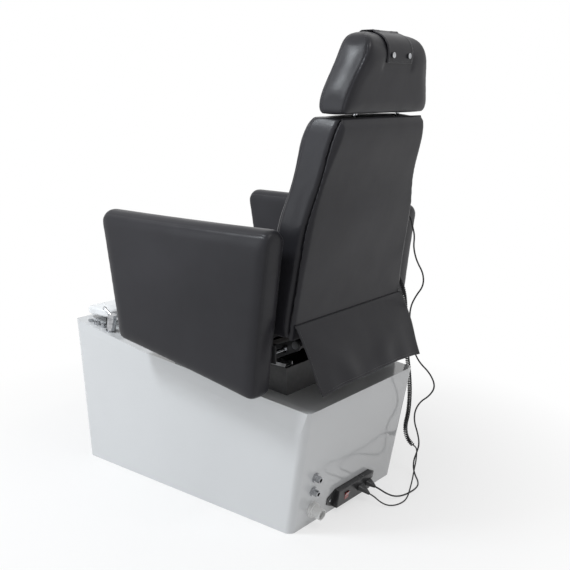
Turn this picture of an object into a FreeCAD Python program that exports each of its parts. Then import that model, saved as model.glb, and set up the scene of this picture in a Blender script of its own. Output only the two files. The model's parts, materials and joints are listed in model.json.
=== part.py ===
import FreeCAD, Part
import math
import os
from FreeCAD import Vector

# Pedicure spa chair: a glossy foot-bath base with an upholstered seat that slides, reclines and
# has flip-up armrests. Millimetres. X runs across the chair with +X on the sitter's left, Y runs
# from the feet at the front to the rear, Z is up. The origin is the middle of the underside.

# Base shell
BASE_LENGTH = 957.0
BASE_WIDTH = 564.0
REAR_LEAN = 0.181
FRONT_LEAN = 0.050
SIDE_FLARE = 0.028
SHELL_WALL = 6.0
CORNER_RADIUS = 24.0
RIM_FRONT_HEIGHT = 520.0
BLANK_HEIGHT = RIM_FRONT_HEIGHT + 40.0
RIM_KNEE_HEIGHT = 465.0
DECK_REAR_HEIGHT = 408.0
RIM_KNEE_Y = -157.0
CREASE_FRONT_HEIGHT = 487.0
CREASE_REAR_HEIGHT = 336.0
CREASE_TILT = 0.055
PLATE_THICKNESS = 15.0

# Foot basin
BASIN_FRONT_Y = -440.0
BASIN_REAR_Y = -88.0
BASIN_WIDTH = 432.0
BASIN_FLOOR_HEIGHT = 205.0
BASIN_WALL = 5.0
BASIN_TAPER = 34.0
BASIN_CORNER = 60.0
BASIN_FLOOR_RADIUS = 24.0
FLANGE_WIDTH = 14.0
FLANGE_THICKNESS = 3.0
FIT_GAP = 0.3

# Drain and water supply
DRAIN_X = 60.0
DRAIN_Y = -250.0
DRAIN_BORE = 38.0
DRAIN_WALL = 3.0
DRAIN_TAIL = 45.0
DRAIN_FLANGE = 62.0
STOPPER_STEM = 8.0
PIPE_OD = 40.0
PIPE_WALL = 3.0
DRAIN_OUTLET_X = 189.0
DRAIN_OUTLET_Z = 54.0
DRAIN_STUB_OD = 36.0
DRAIN_STUB_BORE = 30.0
DRAIN_STUB_LENGTH = 42.0
DRAIN_STUB_INSIDE = 12.0
DRAIN_COLLAR_OD = 50.0
DRAIN_COLLAR_LENGTH = 12.0
INLET_X = 202.0
INLET_HEIGHTS = (171.0, 123.0)
INLET_THREAD_OD = 20.9
INLET_BORE = 13.0
INLET_NUT = 27.0
INLET_NUT_LENGTH = 8.0
INLET_LENGTH = 24.0
INLET_INSIDE = 16.0
HOSE_OD = 12.0
HOSE_BORE = 8.0
HOSE_X = BASE_WIDTH / 2.0 - 20.0

# Jet in the basin's front wall
JET_Z = 300.0
JET_OD = 110.0
JET_WALL = 5.0
JET_DEPTH = 30.0
JET_NECK_OD = 16.0
JET_SPINDLE_OD = 8.0
JET_BLADES = 5
JET_BLADE_REACH = 44.0
JET_MOTOR_OD = 52.0
JET_MOTOR_LENGTH = 24.0

# Deck fittings on the left rim
FITTING_X = 264.0
JET_BUTTON_Y = -452.0
DRAIN_KNOB_Y = -418.0
AIR_KNOB_Y = -386.0
FAUCET_Y = -343.0
BUTTON_OD = 20.0
BUTTON_PROUD = 5.0
KNOB_OD = 24.0
KNOB_HEIGHT = 8.0
AIR_KNOB_OD = 18.0
AIR_KNOB_HEIGHT = 12.0
FAUCET_OD = 32.0
FAUCET_HEIGHT = 50.0
SHANK_LENGTH = 22.0
SPOUT_OD = 20.0
SPOUT_REACH = 86.0
LEVER_LENGTH = 44.0
LEVER_RISE = 30.0

# Footrest
FOOTREST_HALF_WIDTH = 249.0
FOOTREST_FRONT_Y = -497.0
FOOTREST_REAR_Y = -368.0
FOOTREST_UNDERSIDE = 532.0
FOOTREST_THICKNESS = 27.0
FOOTREST_CROWN = 7.0
FOOTREST_CORNER = 24.0
FOOTREST_HINGE_X = 150.0
FOOTREST_KNUCKLE_R = 5.5
FOOTREST_PIN_R = 2.5

# Power box on the rear face
POWER_CENTRE_X = -22.0
POWER_CENTRE_Z = 47.0
POWER_BODY_WIDTH = 190.0
POWER_BODY_HEIGHT = 62.0
POWER_BODY_DEPTH = 20.0
POWER_WALL = 3.0
POWER_TIP_REACH = 132.0
POWER_TIP_HEIGHT = 24.0
ROCKER_X = 26.0
ROCKER_WIDTH = 22.0
ROCKER_HEIGHT = 28.0
SOCKET_X = (-52.0, -98.0)
SOCKET_WIDTH = 28.0
SOCKET_HEIGHT = 20.0
CORD_OD = 5.4

# Seat support
PLINTH_HALF_WIDTH = 225.0
PLINTH_FRONT_Y = -60.0
PLINTH_REAR_Y = 418.0
PLINTH_TOP = 505.0
PLINTH_SHEET = 4.0
PLINTH_CHANNEL = 45.0
PLINTH_NOTCH_WIDTH = 130.0
PLINTH_NOTCH_HEIGHT = 452.0
RAIL_X = 205.0
RAIL_WIDTH = 36.0
RAIL_HEIGHT = 12.0
RAIL_SHEET = 3.0
FRAME_TUBE = 30.0
TUBE_WALL = 2.0
FRAME_FRONT_Y = -90.0
FRAME_REAR_Y = 372.0
FRAME_HALF_WIDTH = 235.0
POST_INNER_X = 120.0
SEAT_BOARD = 12.0
SEAT_HALF_WIDTH = 279.0
SEAT_FRONT_Y = -122.0
SEAT_REAR_Y = 352.0
SEAT_THICKNESS = 118.0

# Backrest, measured on its rear face
BACK_PIVOT_Y = 465.0
BACK_PIVOT_Z = 590.0
BACK_BOTTOM_Z = 616.0
BACK_WAIST_Z = 970.0
BACK_TOP_Z = 1243.0
BACK_BOTTOM_Y = 491.5
BACK_TOP_Y = 607.0
BACK_HOLLOW = 11.0
BACK_THICKNESS = 128.0
BACK_PANEL = 13.0
BACK_HALF_BOTTOM = 288.0
BACK_HALF_WAIST = 268.0
BACK_HALF_TOP = 213.0
BACK_ARM_X = 198.0
BACK_ARM_WIDTH = 8.0
BACK_FRAME_BAR = 20.0
BACK_FRAME_TOP_Z = BACK_TOP_Z - 113.0
BACK_BOARD = 10.0
PIVOT_BOSS_R = 15.0
PIVOT_BEAM_R = 9.0
PIN_R = 8.0
PIN_GAP = 0.05
HINGE_PLATE = 6.0
MOTOR_OD = 60.0
MOTOR_DEPTH = 18.0
MOTOR_HEIGHTS = (800.0, 1000.0)
FLAP_TOP_Z = 662.0
FLAP_BOTTOM_Y = 579.5
FLAP_BOTTOM_Z = 463.0
FLAP_HALF_TOP = 287.0
FLAP_HALF_BOTTOM = 272.0
FLAP_THICKNESS = 4.0
FLAP_WAVE = 6.0
FLAP_TOP_WAVE = 0.2

# Linear actuator under the seat; the lever hangs from the backrest's pivot beam
LEVER_DY = 10.0
LEVER_DZ = -75.0
LEVER_SHEET = 6.0
LEVER_CLEARANCE = 3.0
ACTUATOR_Y = 60.0
ACTUATOR_Z = 500.0
ACTUATOR_MOTOR_OD = 42.0
ACTUATOR_TUBE_OD = 32.0
ACTUATOR_ROD_OD = 20.0
ACTUATOR_PIN_R = 5.0
ACTUATOR_TUBE_END = 250.0
ACTUATOR_ROD_START = 140.0

# Headrest
HEAD_BOTTOM_Z = 1258.0
POST_X = 110.0
POST_R = 6.0
POST_LENGTH = 230.0
POST_IN_PAD = 50.0
GUIDE_WALL = 2.5
STRAP_HALF_WIDTH = 68.0
STRAP_THICKNESS = 3.0
STRAP_END_Z = 1392.0
STUD_X = 42.0
STUD_Z = 1414.0

# Armrests
ARM_INNER_X = 315.0
ARM_THICKNESS = 80.0
ARM_CROWN = 19.0
ARM_CORNERS = ((-214.0, 934.0), (-147.0, 536.0), (430.0, 446.0), (491.0, 932.0))
ARM_PIVOT_Y = 428.0
ARM_PIVOT_Z = 573.0
ARM_PIVOT_R = 6.0
ARM_BOSS_R = 8.8
ARM_BOSS_LENGTH = 34.0
ARM_STOP_Y = 120.0
ARM_STOP_Z = 550.0
ARM_STOP_R = 7.0
ARM_BRACKET = 5.0
PANEL_Y = 30.0
PANEL_Z = 862.0
PANEL_LENGTH = 110.0
PANEL_HEIGHT = 44.0
PANEL_PROUD = 8.0
KEY_COUNT = 3
KEY_OD = 12.0
KEY_LENGTH = 5.6
KEY_TRAVEL = 1.5

# Cords
CURL_RADIUS = 5.7
CURL_WIRE = 4.6
CURL_COUNT = 100
CURL_EASE = 12.0
CURL_LOWER_LEAD = 24.0
CURL_UPPER_LEAD = 32.0
PLUG_NECK_R = 4.4
PLUG_RUN = 18.0

OUT = "parts"
AXIS_X = Vector(1, 0, 0)
AXIS_Y = Vector(0, 1, 0)
AXIS_Z = Vector(0, 0, 1)


# General shapes

def box(x0, x1, y0, y1, z0, z1):
    return Part.makeBox(x1 - x0, y1 - y0, z1 - z0, Vector(x0, y0, z0))


def rod(start, direction, radius, length):
    return Part.makeCylinder(radius, length, start, direction)


def ring(start, direction, outer, inner, length):
    return rod(start, direction, outer, length).cut(rod(start, direction, inner, length))


def prism_x(points, x0, x1):
    """A solid with a polygon of (y, z) points as its section, from x0 to x1."""
    corners = [Vector(x0, y, z) for y, z in points]
    face = Part.Face(Part.makePolygon(corners + corners[:1]))
    return face.extrude(Vector(x1 - x0, 0, 0))


def square_tube(x0, x1, y0, y1, z0, z1):
    """A steel tube along the longest way of its box, open at both ends."""
    spans = (x1 - x0, y1 - y0, z1 - z0)
    insets = [0.0 if span == max(spans) else TUBE_WALL for span in spans]
    room = box(x0 + insets[0], x1 - insets[0], y0 + insets[1], y1 - insets[1],
               z0 + insets[2], z1 - insets[2])
    return box(x0, x1, y0, y1, z0, z1).cut(room)


def bowed_ring(corners, radius, bow):
    """A closed wire round flat convex corners: arcs of about the radius at the corners, and
    sides that bow outward by bow, or inward where it is negative."""
    middle = sum(corners, Vector()) * (1.0 / len(corners))
    count = len(corners)
    starts, ends, tips = [], [], []
    for i, corner in enumerate(corners):
        back = corners[i - 1] - corner
        ahead = corners[(i + 1) % count] - corner
        half = back.getAngle(ahead) / 2.0
        reach = min(radius / math.tan(half), 0.45 * min(back.Length, ahead.Length))
        arc = reach * math.tan(half)
        starts.append(corner + back.normalize() * reach)
        ends.append(corner + ahead.normalize() * reach)
        inward = (back + ahead).normalize()
        tips.append(corner + inward * (arc / math.sin(half) - arc))
    edges = []
    for i in range(count):
        after = (i + 1) % count
        edges.append(Part.Arc(starts[i], tips[i], ends[i]).toShape())
        mid = (ends[i] + starts[after]) * 0.5
        run = starts[after] - ends[i]
        outward = mid - middle
        outward = (outward - run * (outward.dot(run) / run.dot(run))).normalize()
        if bow:
            edges.append(Part.Arc(ends[i], mid + outward * bow, starts[after]).toShape())
        else:
            edges.append(Part.makeLine(ends[i], starts[after]))
    return Part.Wire(edges)


def shrink(corners, amount):
    """Moves each corner of a flat convex outline inward from both of its sides."""
    count = len(corners)
    result = []
    for i, corner in enumerate(corners):
        back = (corners[i - 1] - corner).normalize()
        ahead = (corners[(i + 1) % count] - corner).normalize()
        half = back.getAngle(ahead) / 2.0
        result.append(corner + (back + ahead).normalize() * (amount / math.sin(half)))
    return result


def level_corners(half_width, front_y, rear_y, z):
    return [Vector(half_width, front_y, z), Vector(half_width, rear_y, z),
            Vector(-half_width, rear_y, z), Vector(-half_width, front_y, z)]


def half_space(point, normal, size=2400.0):
    """A large block on the side of a plane that its normal points to."""
    side = AXIS_X if abs(normal.x) < 0.9 else AXIS_Y
    across = normal.cross(side).normalize() * size
    along = normal.cross(across).normalize() * size
    corners = [point + across, point + along, point - across, point - along]
    face = Part.Face(Part.makePolygon(corners + corners[:1]))
    return face.extrude(Vector(normal).normalize() * size)


def mirrored(shape):
    return shape.mirror(Vector(), AXIS_X)


def both_sides(shape):
    return Part.makeCompound([shape, mirrored(shape)])


def walled_block(bottom, top, walls, inset, radius):
    """A block between leaning walls, each a point and an outward normal, with round uprights."""
    block = box(-450, 450, -750, 750, bottom, top)
    for point, normal in walls:
        outward = Vector(*normal).normalize()
        block = block.cut(half_space(Vector(*point) - outward * inset, outward))
    uprights = [e for e in block.Edges if e.BoundBox.ZLength > 0.9 * (top - bottom)]
    return block.makeFillet(radius, uprights)


# Tubes and cords

class Route:
    """Straight runs joined by tangent arcs through a list of points chosen by hand."""

    def __init__(self, name, points):
        self.points = [Vector(*p) for p in points]
        self.pieces = []
        radii = []
        position = self.points[0]
        for i in range(1, len(self.points) - 1):
            before = self.points[i] - self.points[i - 1]
            after = self.points[i + 1] - self.points[i]
            half = before.getAngle(after) / 2.0
            reach = 0.45 * min(before.Length, after.Length)
            radius = reach / math.tan(half)
            radii.append(radius)
            start = self.points[i] - before.normalize() * reach
            end = self.points[i] + after.normalize() * reach
            inward = (after - before).normalize()
            tip = self.points[i] + inward * (radius / math.cos(half) - radius)
            self.pieces.append(("line", position, start))
            self.pieces.append(("arc", start, tip, end))
            position = end
        self.pieces.append(("line", position, self.points[-1]))
        self.edges = []
        for piece in self.pieces:
            if piece[0] == "line":
                self.edges.append(Part.makeLine(piece[1], piece[2]))
            else:
                self.edges.append(Part.Arc(piece[1], piece[2], piece[3]).toShape())
        self.length = sum(edge.Length for edge in self.edges)
        print(name, "length %.1f" % self.length, "radii", " ".join("%.0f" % r for r in radii))

    def stations(self):
        """The distances along the route at which its runs and arcs begin."""
        marks = [0.0]
        for edge in self.edges:
            marks.append(marks[-1] + edge.Length)
        return marks

    def at(self, distance):
        """The point and the unit tangent at a distance along the route."""
        left = min(max(distance, 0.0), self.length)
        for edge, piece in zip(self.edges, self.pieces):
            if left <= edge.Length or piece is self.pieces[-1]:
                break
            left -= edge.Length
        if piece[0] == "line":
            tangent = (piece[2] - piece[1]).normalize()
            return piece[1] + tangent * left, tangent
        place = edge.getParameterByLength(left)
        return edge.valueAt(place), Vector(edge.tangentAt(place)).normalize()


def tube(name, points, radius, bore=0.0):
    """A round tube along a route, with its volume compared with section times length."""
    route = Route(name, points)
    start, tangent = route.at(0.0)
    spine = Part.Wire(route.edges)

    def sweep(r):
        section = Part.Wire(Part.Circle(start, tangent, r).toShape())
        return spine.makePipeShell([section], True, False)

    solid = sweep(radius)
    expected = math.pi * radius ** 2 * route.length
    print(name, "volume over section times length %.4f" % (solid.Volume / expected))
    if bore:
        solid = solid.cut(sweep(bore))
    return solid


def biarc(p0, t0, p1, t1):
    """Two tangent arcs from one point and direction to the next, and their radii."""
    chord = p1 - p0
    turn = t0 + t1
    a = turn.dot(turn) - 4.0
    b = -2.0 * chord.dot(turn)
    c = chord.dot(chord)
    if abs(a) < 1e-9:
        reach = -c / b
    else:
        reach = (-b - math.sqrt(b * b - 4.0 * a * c)) / (2.0 * a)
    joint = (p0 + t0 * reach + p1 - t1 * reach) * 0.5
    edges, radii = [], []
    for start, corner, end in ((p0, p0 + t0 * reach, joint), (joint, p1 - t1 * reach, p1)):
        mid = (start + end) * 0.5
        rise = (corner - mid).Length
        if rise < 1e-4 * reach:
            edges.append(Part.makeLine(start, end))
            continue
        radius = reach * (start - mid).Length / rise
        tip = corner + (mid - corner).normalize() * (reach * reach / rise - radius)
        edges.append(Part.Arc(start, tip, end).toShape())
        radii.append(radius)
    return edges, radii


def curly_tube(name, points, wire, coil, count, lower_lead, upper_lead):
    """One unbroken wire that curls round a route, uncurled for a lead at each end."""
    route = Route(name, points)
    first, last = lower_lead, route.length - upper_lead
    pitch = (last - first - CURL_EASE) / count

    def easing(distance):
        return min((distance - first) / CURL_EASE, (last - distance) / CURL_EASE, 1.0)

    def turned(distance):
        ease = easing(distance)
        if ease == 1.0:
            return (distance - first - CURL_EASE / 2.0) / pitch
        part = CURL_EASE / pitch * ease ** 3 * (1.0 - ease / 2.0)
        return part if 2.0 * distance < first + last else count - part

    def place(distance):
        centre, tangent = route.at(distance)
        if distance <= first or distance >= last:
            return centre
        ease = easing(distance)
        size = coil * ease * ease * (3.0 - 2.0 * ease)
        side = (AXIS_X - tangent * tangent.x).normalize()
        up = tangent.cross(side)
        angle = 2.0 * math.pi * turned(distance)
        return centre + side * (size * math.cos(angle)) + up * (size * math.sin(angle))

    def heading(distance):
        if distance <= first or distance >= last:
            return route.at(distance)[1]
        step = 0.01
        return (place(distance + step) - place(distance - step)).normalize()

    half_turns = 2 * count
    marks = [s for s in route.stations() if s < first - 0.01]
    marks += [first + (last - first) * i / half_turns for i in range(half_turns + 1)]
    marks += [s for s in route.stations() if s > last + 0.01]
    edges, radii = [], []
    for start, end in zip(marks, marks[1:]):
        part, sizes = biarc(place(start), heading(start), place(end), heading(end))
        edges += part
        radii += sizes
    print(name, "tightest turn %.2f wire radius %.2f" % (min(radii), wire / 2.0))
    samples = 24
    spots = [place(first + (last - first) * i / (samples * count))
             for i in range(samples * count + 1)]
    along = [0.0]
    for i in range(1, len(spots)):
        along.append(along[-1] + (spots[i] - spots[i - 1]).Length)
    nearest = min((spots[i] - spots[j]).Length for i in range(0, len(spots), 3)
                  for j in range(i, min(i + 3 * samples, len(spots)))
                  if along[j] - along[i] > 3.0 * wire)
    print(name, "least gap to itself %.2f" % (nearest - wire))
    section = Part.Wire(Part.Circle(place(0.0), heading(0.0), wire / 2.0).toShape())
    return Part.Wire(edges).makePipeShell([section], True, False)


# Outer form of the base

BASE_FRONT_Y = -BASE_LENGTH / 2.0
BASE_REAR_Y = BASE_LENGTH / 2.0
RIM_FRONT_Y = BASE_FRONT_Y - FRONT_LEAN * RIM_FRONT_HEIGHT
DECK_REAR_Y = BASE_REAR_Y + REAR_LEAN * DECK_REAR_HEIGHT
FRONT_SLOPE = (RIM_FRONT_HEIGHT - RIM_KNEE_HEIGHT) / (RIM_KNEE_Y - RIM_FRONT_Y)
DECK_SLOPE = (RIM_KNEE_HEIGHT - DECK_REAR_HEIGHT) / (DECK_REAR_Y - RIM_KNEE_Y)
RIM_TILT = math.atan(FRONT_SLOPE)
RIM_NORMAL = Vector(0, math.sin(RIM_TILT), math.cos(RIM_TILT))
REAR_TILT = math.atan(REAR_LEAN)
REAR_NORMAL = Vector(0, math.cos(REAR_TILT), -math.sin(REAR_TILT))
BASIN_SLOPE = BASIN_TAPER / (RIM_FRONT_HEIGHT - BASIN_FLOOR_HEIGHT)


def deck_height(y):
    """The height of the rim and deck surface along the chair."""
    if y < RIM_KNEE_Y:
        return RIM_KNEE_HEIGHT + FRONT_SLOPE * (RIM_KNEE_Y - y)
    return RIM_KNEE_HEIGHT - DECK_SLOPE * (y - RIM_KNEE_Y)


def rear_face_y(z):
    return BASE_REAR_Y + REAR_LEAN * z


def below_deck(offset):
    """Everything under the rim and deck surface raised by an offset."""
    front, rear, bottom = -700.0, 700.0, -50.0
    return prism_x([(front, bottom), (rear, bottom), (rear, deck_height(rear) + offset),
                    (RIM_KNEE_Y, RIM_KNEE_HEIGHT + offset), (front, deck_height(front) + offset)],
                   -450.0, 450.0)


def base_blank(inset, bottom):
    """The base's flared block, creased along its sides and front, moved inward by an inset."""
    half = BASE_WIDTH / 2.0
    walls = [((half, 0, 0), (1, 0, -SIDE_FLARE)), ((-half, 0, 0), (-1, 0, -SIDE_FLARE)),
             ((0, BASE_FRONT_Y, 0), (0, -1, -FRONT_LEAN)), ((0, BASE_REAR_Y, 0), (0, 1, -REAR_LEAN))]
    block = walled_block(bottom, BLANK_HEIGHT, walls, inset, CORNER_RADIUS - inset)
    crease_y0 = BASE_FRONT_Y - FRONT_LEAN * CREASE_FRONT_HEIGHT
    crease_x0 = half + SIDE_FLARE * CREASE_FRONT_HEIGHT - inset
    crease_x1 = half + SIDE_FLARE * CREASE_REAR_HEIGHT - inset
    front = Vector(crease_x0, crease_y0, CREASE_FRONT_HEIGHT)
    rear = Vector(crease_x1, rear_face_y(CREASE_REAR_HEIGHT), CREASE_REAR_HEIGHT)
    facet = half_space(front, (rear - front).cross(Vector(-CREASE_TILT, 0, 1)))
    brow = half_space(Vector(0, crease_y0 + inset, CREASE_FRONT_HEIGHT), Vector(0, -1, CREASE_TILT))
    return block.cut(facet).cut(mirrored(facet)).cut(brow)


def basin_block(grow, floor):
    """The foot basin's block, which tapers toward a rounded floor, made larger by grow."""
    half = BASIN_WIDTH / 2.0
    z = RIM_FRONT_HEIGHT
    walls = [((half, 0, z), (1, 0, -BASIN_SLOPE)), ((-half, 0, z), (-1, 0, -BASIN_SLOPE)),
             ((0, BASIN_FRONT_Y, z), (0, -1, -BASIN_SLOPE)),
             ((0, BASIN_REAR_Y, z), (0, 1, -BASIN_SLOPE))]
    block = walled_block(floor, BLANK_HEIGHT, walls, -grow, BASIN_CORNER + grow)
    lower = [e for e in block.Edges if e.BoundBox.ZMax < floor + 0.1]
    return block.makeFillet(BASIN_FLOOR_RADIUS + grow, lower)


def rear_rod(x, z, radius, start, length):
    """A rod square to the leaning rear face, from a distance outside it."""
    origin = Vector(x, rear_face_y(z), z) + REAR_NORMAL * start
    return rod(origin, REAR_NORMAL, radius, length)


def rim_point(y, up=0.0):
    """A point over the line of fittings on the left rim."""
    return Vector(FITTING_X, y, deck_height(y)) + RIM_NORMAL * up


def make_base_shell():
    shell = base_blank(0.0, 0.0).common(below_deck(0.0))
    shell = shell.cut(base_blank(SHELL_WALL, -20.0).common(below_deck(-SHELL_WALL)))
    shell = shell.cut(basin_block(FIT_GAP, BASIN_FLOOR_HEIGHT - BASIN_WALL))
    for height in INLET_HEIGHTS:
        shell = shell.cut(rear_rod(INLET_X, height, INLET_THREAD_OD / 2.0, -20.0, 40.0))
    shell = shell.cut(rear_rod(DRAIN_OUTLET_X, DRAIN_OUTLET_Z, DRAIN_STUB_OD / 2.0, -20.0, 40.0))
    for y, size in ((JET_BUTTON_Y, BUTTON_OD), (DRAIN_KNOB_Y, KNOB_OD / 2.0),
                    (AIR_KNOB_Y, AIR_KNOB_OD / 2.0), (FAUCET_Y, FAUCET_OD / 2.0)):
        shell = shell.cut(rod(rim_point(y, -20.0), RIM_NORMAL, size / 2.0, 30.0))
    return shell


def make_base_plate():
    """Board that closes the shell's underside, flush with its lower edge."""
    return base_blank(SHELL_WALL, 0.0).common(box(-400, 400, -700, 700, 0.0, PLATE_THICKNESS))


def make_foot_basin():
    floor = BASIN_FLOOR_HEIGHT - BASIN_WALL
    basin = basin_block(0.0, floor).common(below_deck(FLANGE_THICKNESS))
    flange = basin_block(FLANGE_WIDTH, floor)
    flange = flange.common(below_deck(FLANGE_THICKNESS)).cut(below_deck(0.0))
    basin = basin.fuse(flange).cut(basin_block(-BASIN_WALL, BASIN_FLOOR_HEIGHT))
    drain = rod(Vector(DRAIN_X, DRAIN_Y, floor - 5.0), AXIS_Z, DRAIN_BORE / 2.0, 20.0)
    jet = rod(jet_point(-30.0), JET_AXIS, JET_NECK_OD / 2.0 + FIT_GAP, 60.0)
    return basin.cut(drain).cut(jet).removeSplitter()


def make_support_frame():
    """Four tube posts with bars between them, which carry the plinth from the base plate."""
    t = FRAME_TUBE
    x0, x1 = POST_INNER_X, POST_INNER_X + t
    front, rear = BASIN_REAR_Y + 14.0, PLINTH_REAR_Y - 6.0
    bar_low = 330.0
    ceiling = below_deck(-SHELL_WALL)
    tubes = []
    for side in (-1, 1):
        a, b = sorted((side * x0, side * x1))
        for y in (front, rear - t):
            tubes.append(square_tube(a, b, y, y + t, PLATE_THICKNESS, 500.0).common(ceiling))
        tubes.append(square_tube(a, b, front + t, rear - t, bar_low, bar_low + t))
    for y in (front, rear - t):
        tubes.append(square_tube(-x0, x0, y, y + t, bar_low, bar_low + t))
    return Part.makeCompound(tubes)


# Drain and water supply

def make_basin_drain():
    """Chrome flange and tailpiece in the basin floor."""
    floor = Vector(DRAIN_X, DRAIN_Y, BASIN_FLOOR_HEIGHT)
    flange = rod(floor, AXIS_Z, DRAIN_FLANGE / 2.0, 3.0)
    tail = rod(floor - AXIS_Z * DRAIN_TAIL, AXIS_Z, DRAIN_BORE / 2.0, DRAIN_TAIL)
    bore = rod(floor - AXIS_Z * (DRAIN_TAIL + 5.0), AXIS_Z, DRAIN_BORE / 2.0 - DRAIN_WALL,
               DRAIN_TAIL + 15.0)
    return flange.fuse(tail).cut(bore).removeSplitter()


def make_drain_stopper():
    """Pop-up plug resting on the drain flange, with a stem down the tailpiece."""
    seat = Vector(DRAIN_X, DRAIN_Y, BASIN_FLOOR_HEIGHT + 3.0)
    disc = rod(seat, AXIS_Z, DRAIN_BORE / 2.0 + 2.0, 5.0)
    stem = rod(seat - AXIS_Z * 30.0, AXIS_Z, STOPPER_STEM / 2.0, 30.0)
    return disc.fuse(stem).removeSplitter()


def make_drain_pipe():
    """Waste pipe from the tailpiece down and back to the outlet in the rear face."""
    top = BASIN_FLOOR_HEIGHT - DRAIN_TAIL
    low = PLATE_THICKNESS + PIPE_OD / 2.0 + 26.0
    end = Vector(DRAIN_OUTLET_X, rear_face_y(DRAIN_OUTLET_Z), DRAIN_OUTLET_Z)
    end = end - REAR_NORMAL * (DRAIN_STUB_INSIDE + SHELL_WALL)
    near = end - REAR_NORMAL * 44.0
    points = [(DRAIN_X, DRAIN_Y, top), (DRAIN_X, DRAIN_Y, low), (DRAIN_X, DRAIN_Y + 110.0, low),
              (DRAIN_OUTLET_X - 20.0, near.y - 90.0, low + 2.0), tuple(near), tuple(end)]
    return tube("drain_pipe", points, PIPE_OD / 2.0, PIPE_OD / 2.0 - PIPE_WALL)


def make_drain_outlet():
    """White stub and collar on the rear face."""
    x, z = DRAIN_OUTLET_X, DRAIN_OUTLET_Z
    inside = SHELL_WALL + DRAIN_STUB_INSIDE
    collar = rear_rod(x, z, DRAIN_COLLAR_OD / 2.0, 0.0, DRAIN_COLLAR_LENGTH)
    stub = rear_rod(x, z, DRAIN_STUB_OD / 2.0, -inside, DRAIN_STUB_LENGTH + inside)
    bore = rear_rod(x, z, DRAIN_STUB_BORE / 2.0, -inside - 5.0, DRAIN_STUB_LENGTH + inside + 10.0)
    return collar.fuse(stub).cut(bore).removeSplitter()


def make_water_inlets():
    """Two threaded chrome nipples with hexagon nuts."""
    up = REAR_NORMAL.cross(AXIS_X)
    circle = INLET_NUT / math.sqrt(3)
    parts = []
    for z in INLET_HEIGHTS:
        nipple = rear_rod(INLET_X, z, INLET_THREAD_OD / 2.0, -INLET_INSIDE,
                          INLET_LENGTH + INLET_INSIDE)
        centre = Vector(INLET_X, rear_face_y(z), z)
        angles = [math.radians(60 * i) for i in range(6)]
        corners = [centre + (AXIS_X * math.cos(a) + up * math.sin(a)) * circle for a in angles]
        nut = Part.Face(Part.makePolygon(corners + corners[:1]))
        nut = nut.extrude(REAR_NORMAL * INLET_NUT_LENGTH)
        bore = rear_rod(INLET_X, z, INLET_BORE / 2.0, -INLET_INSIDE - 5.0,
                        INLET_LENGTH + INLET_INSIDE + 10.0)
        parts.append(nipple.fuse(nut).cut(bore).removeSplitter())
    return Part.makeCompound(parts)


def make_supply_hoses():
    """Hot and cold hoses along the inside of the left wall to the faucet's shank."""
    parts = []
    for z, gap in zip(INLET_HEIGHTS, (6.5, -6.5)):
        start = Vector(INLET_X, rear_face_y(z), z) - REAR_NORMAL * INLET_INSIDE
        near = start - REAR_NORMAL * 34.0
        end = rim_point(FAUCET_Y, -SHANK_LENGTH)
        end = Vector(end.x, end.y + gap * RIM_NORMAL.z, end.z - gap * RIM_NORMAL.y)
        below = end - RIM_NORMAL * 60.0
        points = [tuple(start), tuple(near), (HOSE_X - 8.0, near.y - 60.0, z + 8.0),
                  (HOSE_X, near.y - 130.0, z + 20.0), (HOSE_X, below.y + 130.0, z + 50.0),
                  (HOSE_X, below.y + 20.0, z + 130.0), tuple(below), tuple(end)]
        parts.append(tube("supply_hose", points, HOSE_OD / 2.0, HOSE_BORE / 2.0))
    return Part.makeCompound(parts)


# Jet in the basin's front wall, square to the leaning wall

JET_AXIS = Vector(0, 1, BASIN_SLOPE).normalize()


def jet_point(ahead):
    """A point on the jet's axis, a distance from the wall's inner face into the basin."""
    wall = BASIN_FRONT_Y + BASIN_SLOPE * (RIM_FRONT_HEIGHT - JET_Z)
    return Vector(0, wall, JET_Z) + JET_AXIS * (BASIN_WALL + ahead)


def make_jet_housing():
    """Round cup on the wall's inner face, a neck through it and the motor behind it."""
    cup = ring(jet_point(JET_WALL), JET_AXIS, JET_OD / 2.0, JET_OD / 2.0 - JET_WALL,
               JET_DEPTH - JET_WALL)
    back = rod(jet_point(0.0), JET_AXIS, JET_OD / 2.0, JET_WALL)
    neck = rod(jet_point(-8.0), JET_AXIS, JET_NECK_OD / 2.0, 9.0)
    motor = rod(jet_point(-8.0 - JET_MOTOR_LENGTH), JET_AXIS, JET_MOTOR_OD / 2.0,
                JET_MOTOR_LENGTH)
    bore = rod(jet_point(-20.0), JET_AXIS, JET_SPINDLE_OD / 2.0 + PIN_GAP, 60.0)
    return back.fuse([cup, neck, motor]).cut(bore).removeSplitter()


def make_jet_cover():
    """Cap with round outlets that closes the jet."""
    cap = rod(jet_point(JET_DEPTH), JET_AXIS, JET_OD / 2.0 + 3.0, 4.0)
    up = JET_AXIS.cross(AXIS_X)
    for i in range(6):
        angle = math.radians(60 * i)
        spot = jet_point(JET_DEPTH - 1.0) + (AXIS_X * math.cos(angle) + up * math.sin(angle)) * 34.0
        cap = cap.cut(rod(spot, JET_AXIS, 9.0, 6.0))
    return cap


def make_jet_impeller():
    """Hub and flat blades on a spindle that turns in the jet housing."""
    hub = rod(jet_point(JET_WALL + 3.0), JET_AXIS, 11.0, 14.0)
    spindle = rod(jet_point(-18.0), JET_AXIS, JET_SPINDLE_OD / 2.0, 30.0)
    place = FreeCAD.Placement(jet_point(JET_WALL + 4.0), FreeCAD.Rotation(AXIS_Z, JET_AXIS))
    blades = []
    for i in range(JET_BLADES):
        blade = box(6.0, JET_BLADE_REACH, -1.5, 1.5, 0.0, 12.0)
        blade.rotate(Vector(), AXIS_Z, 360.0 * i / JET_BLADES)
        blade.Placement = place * blade.Placement
        blades.append(blade)
    return hub.fuse([spindle] + blades).removeSplitter()


# Fittings on the left rim

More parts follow.
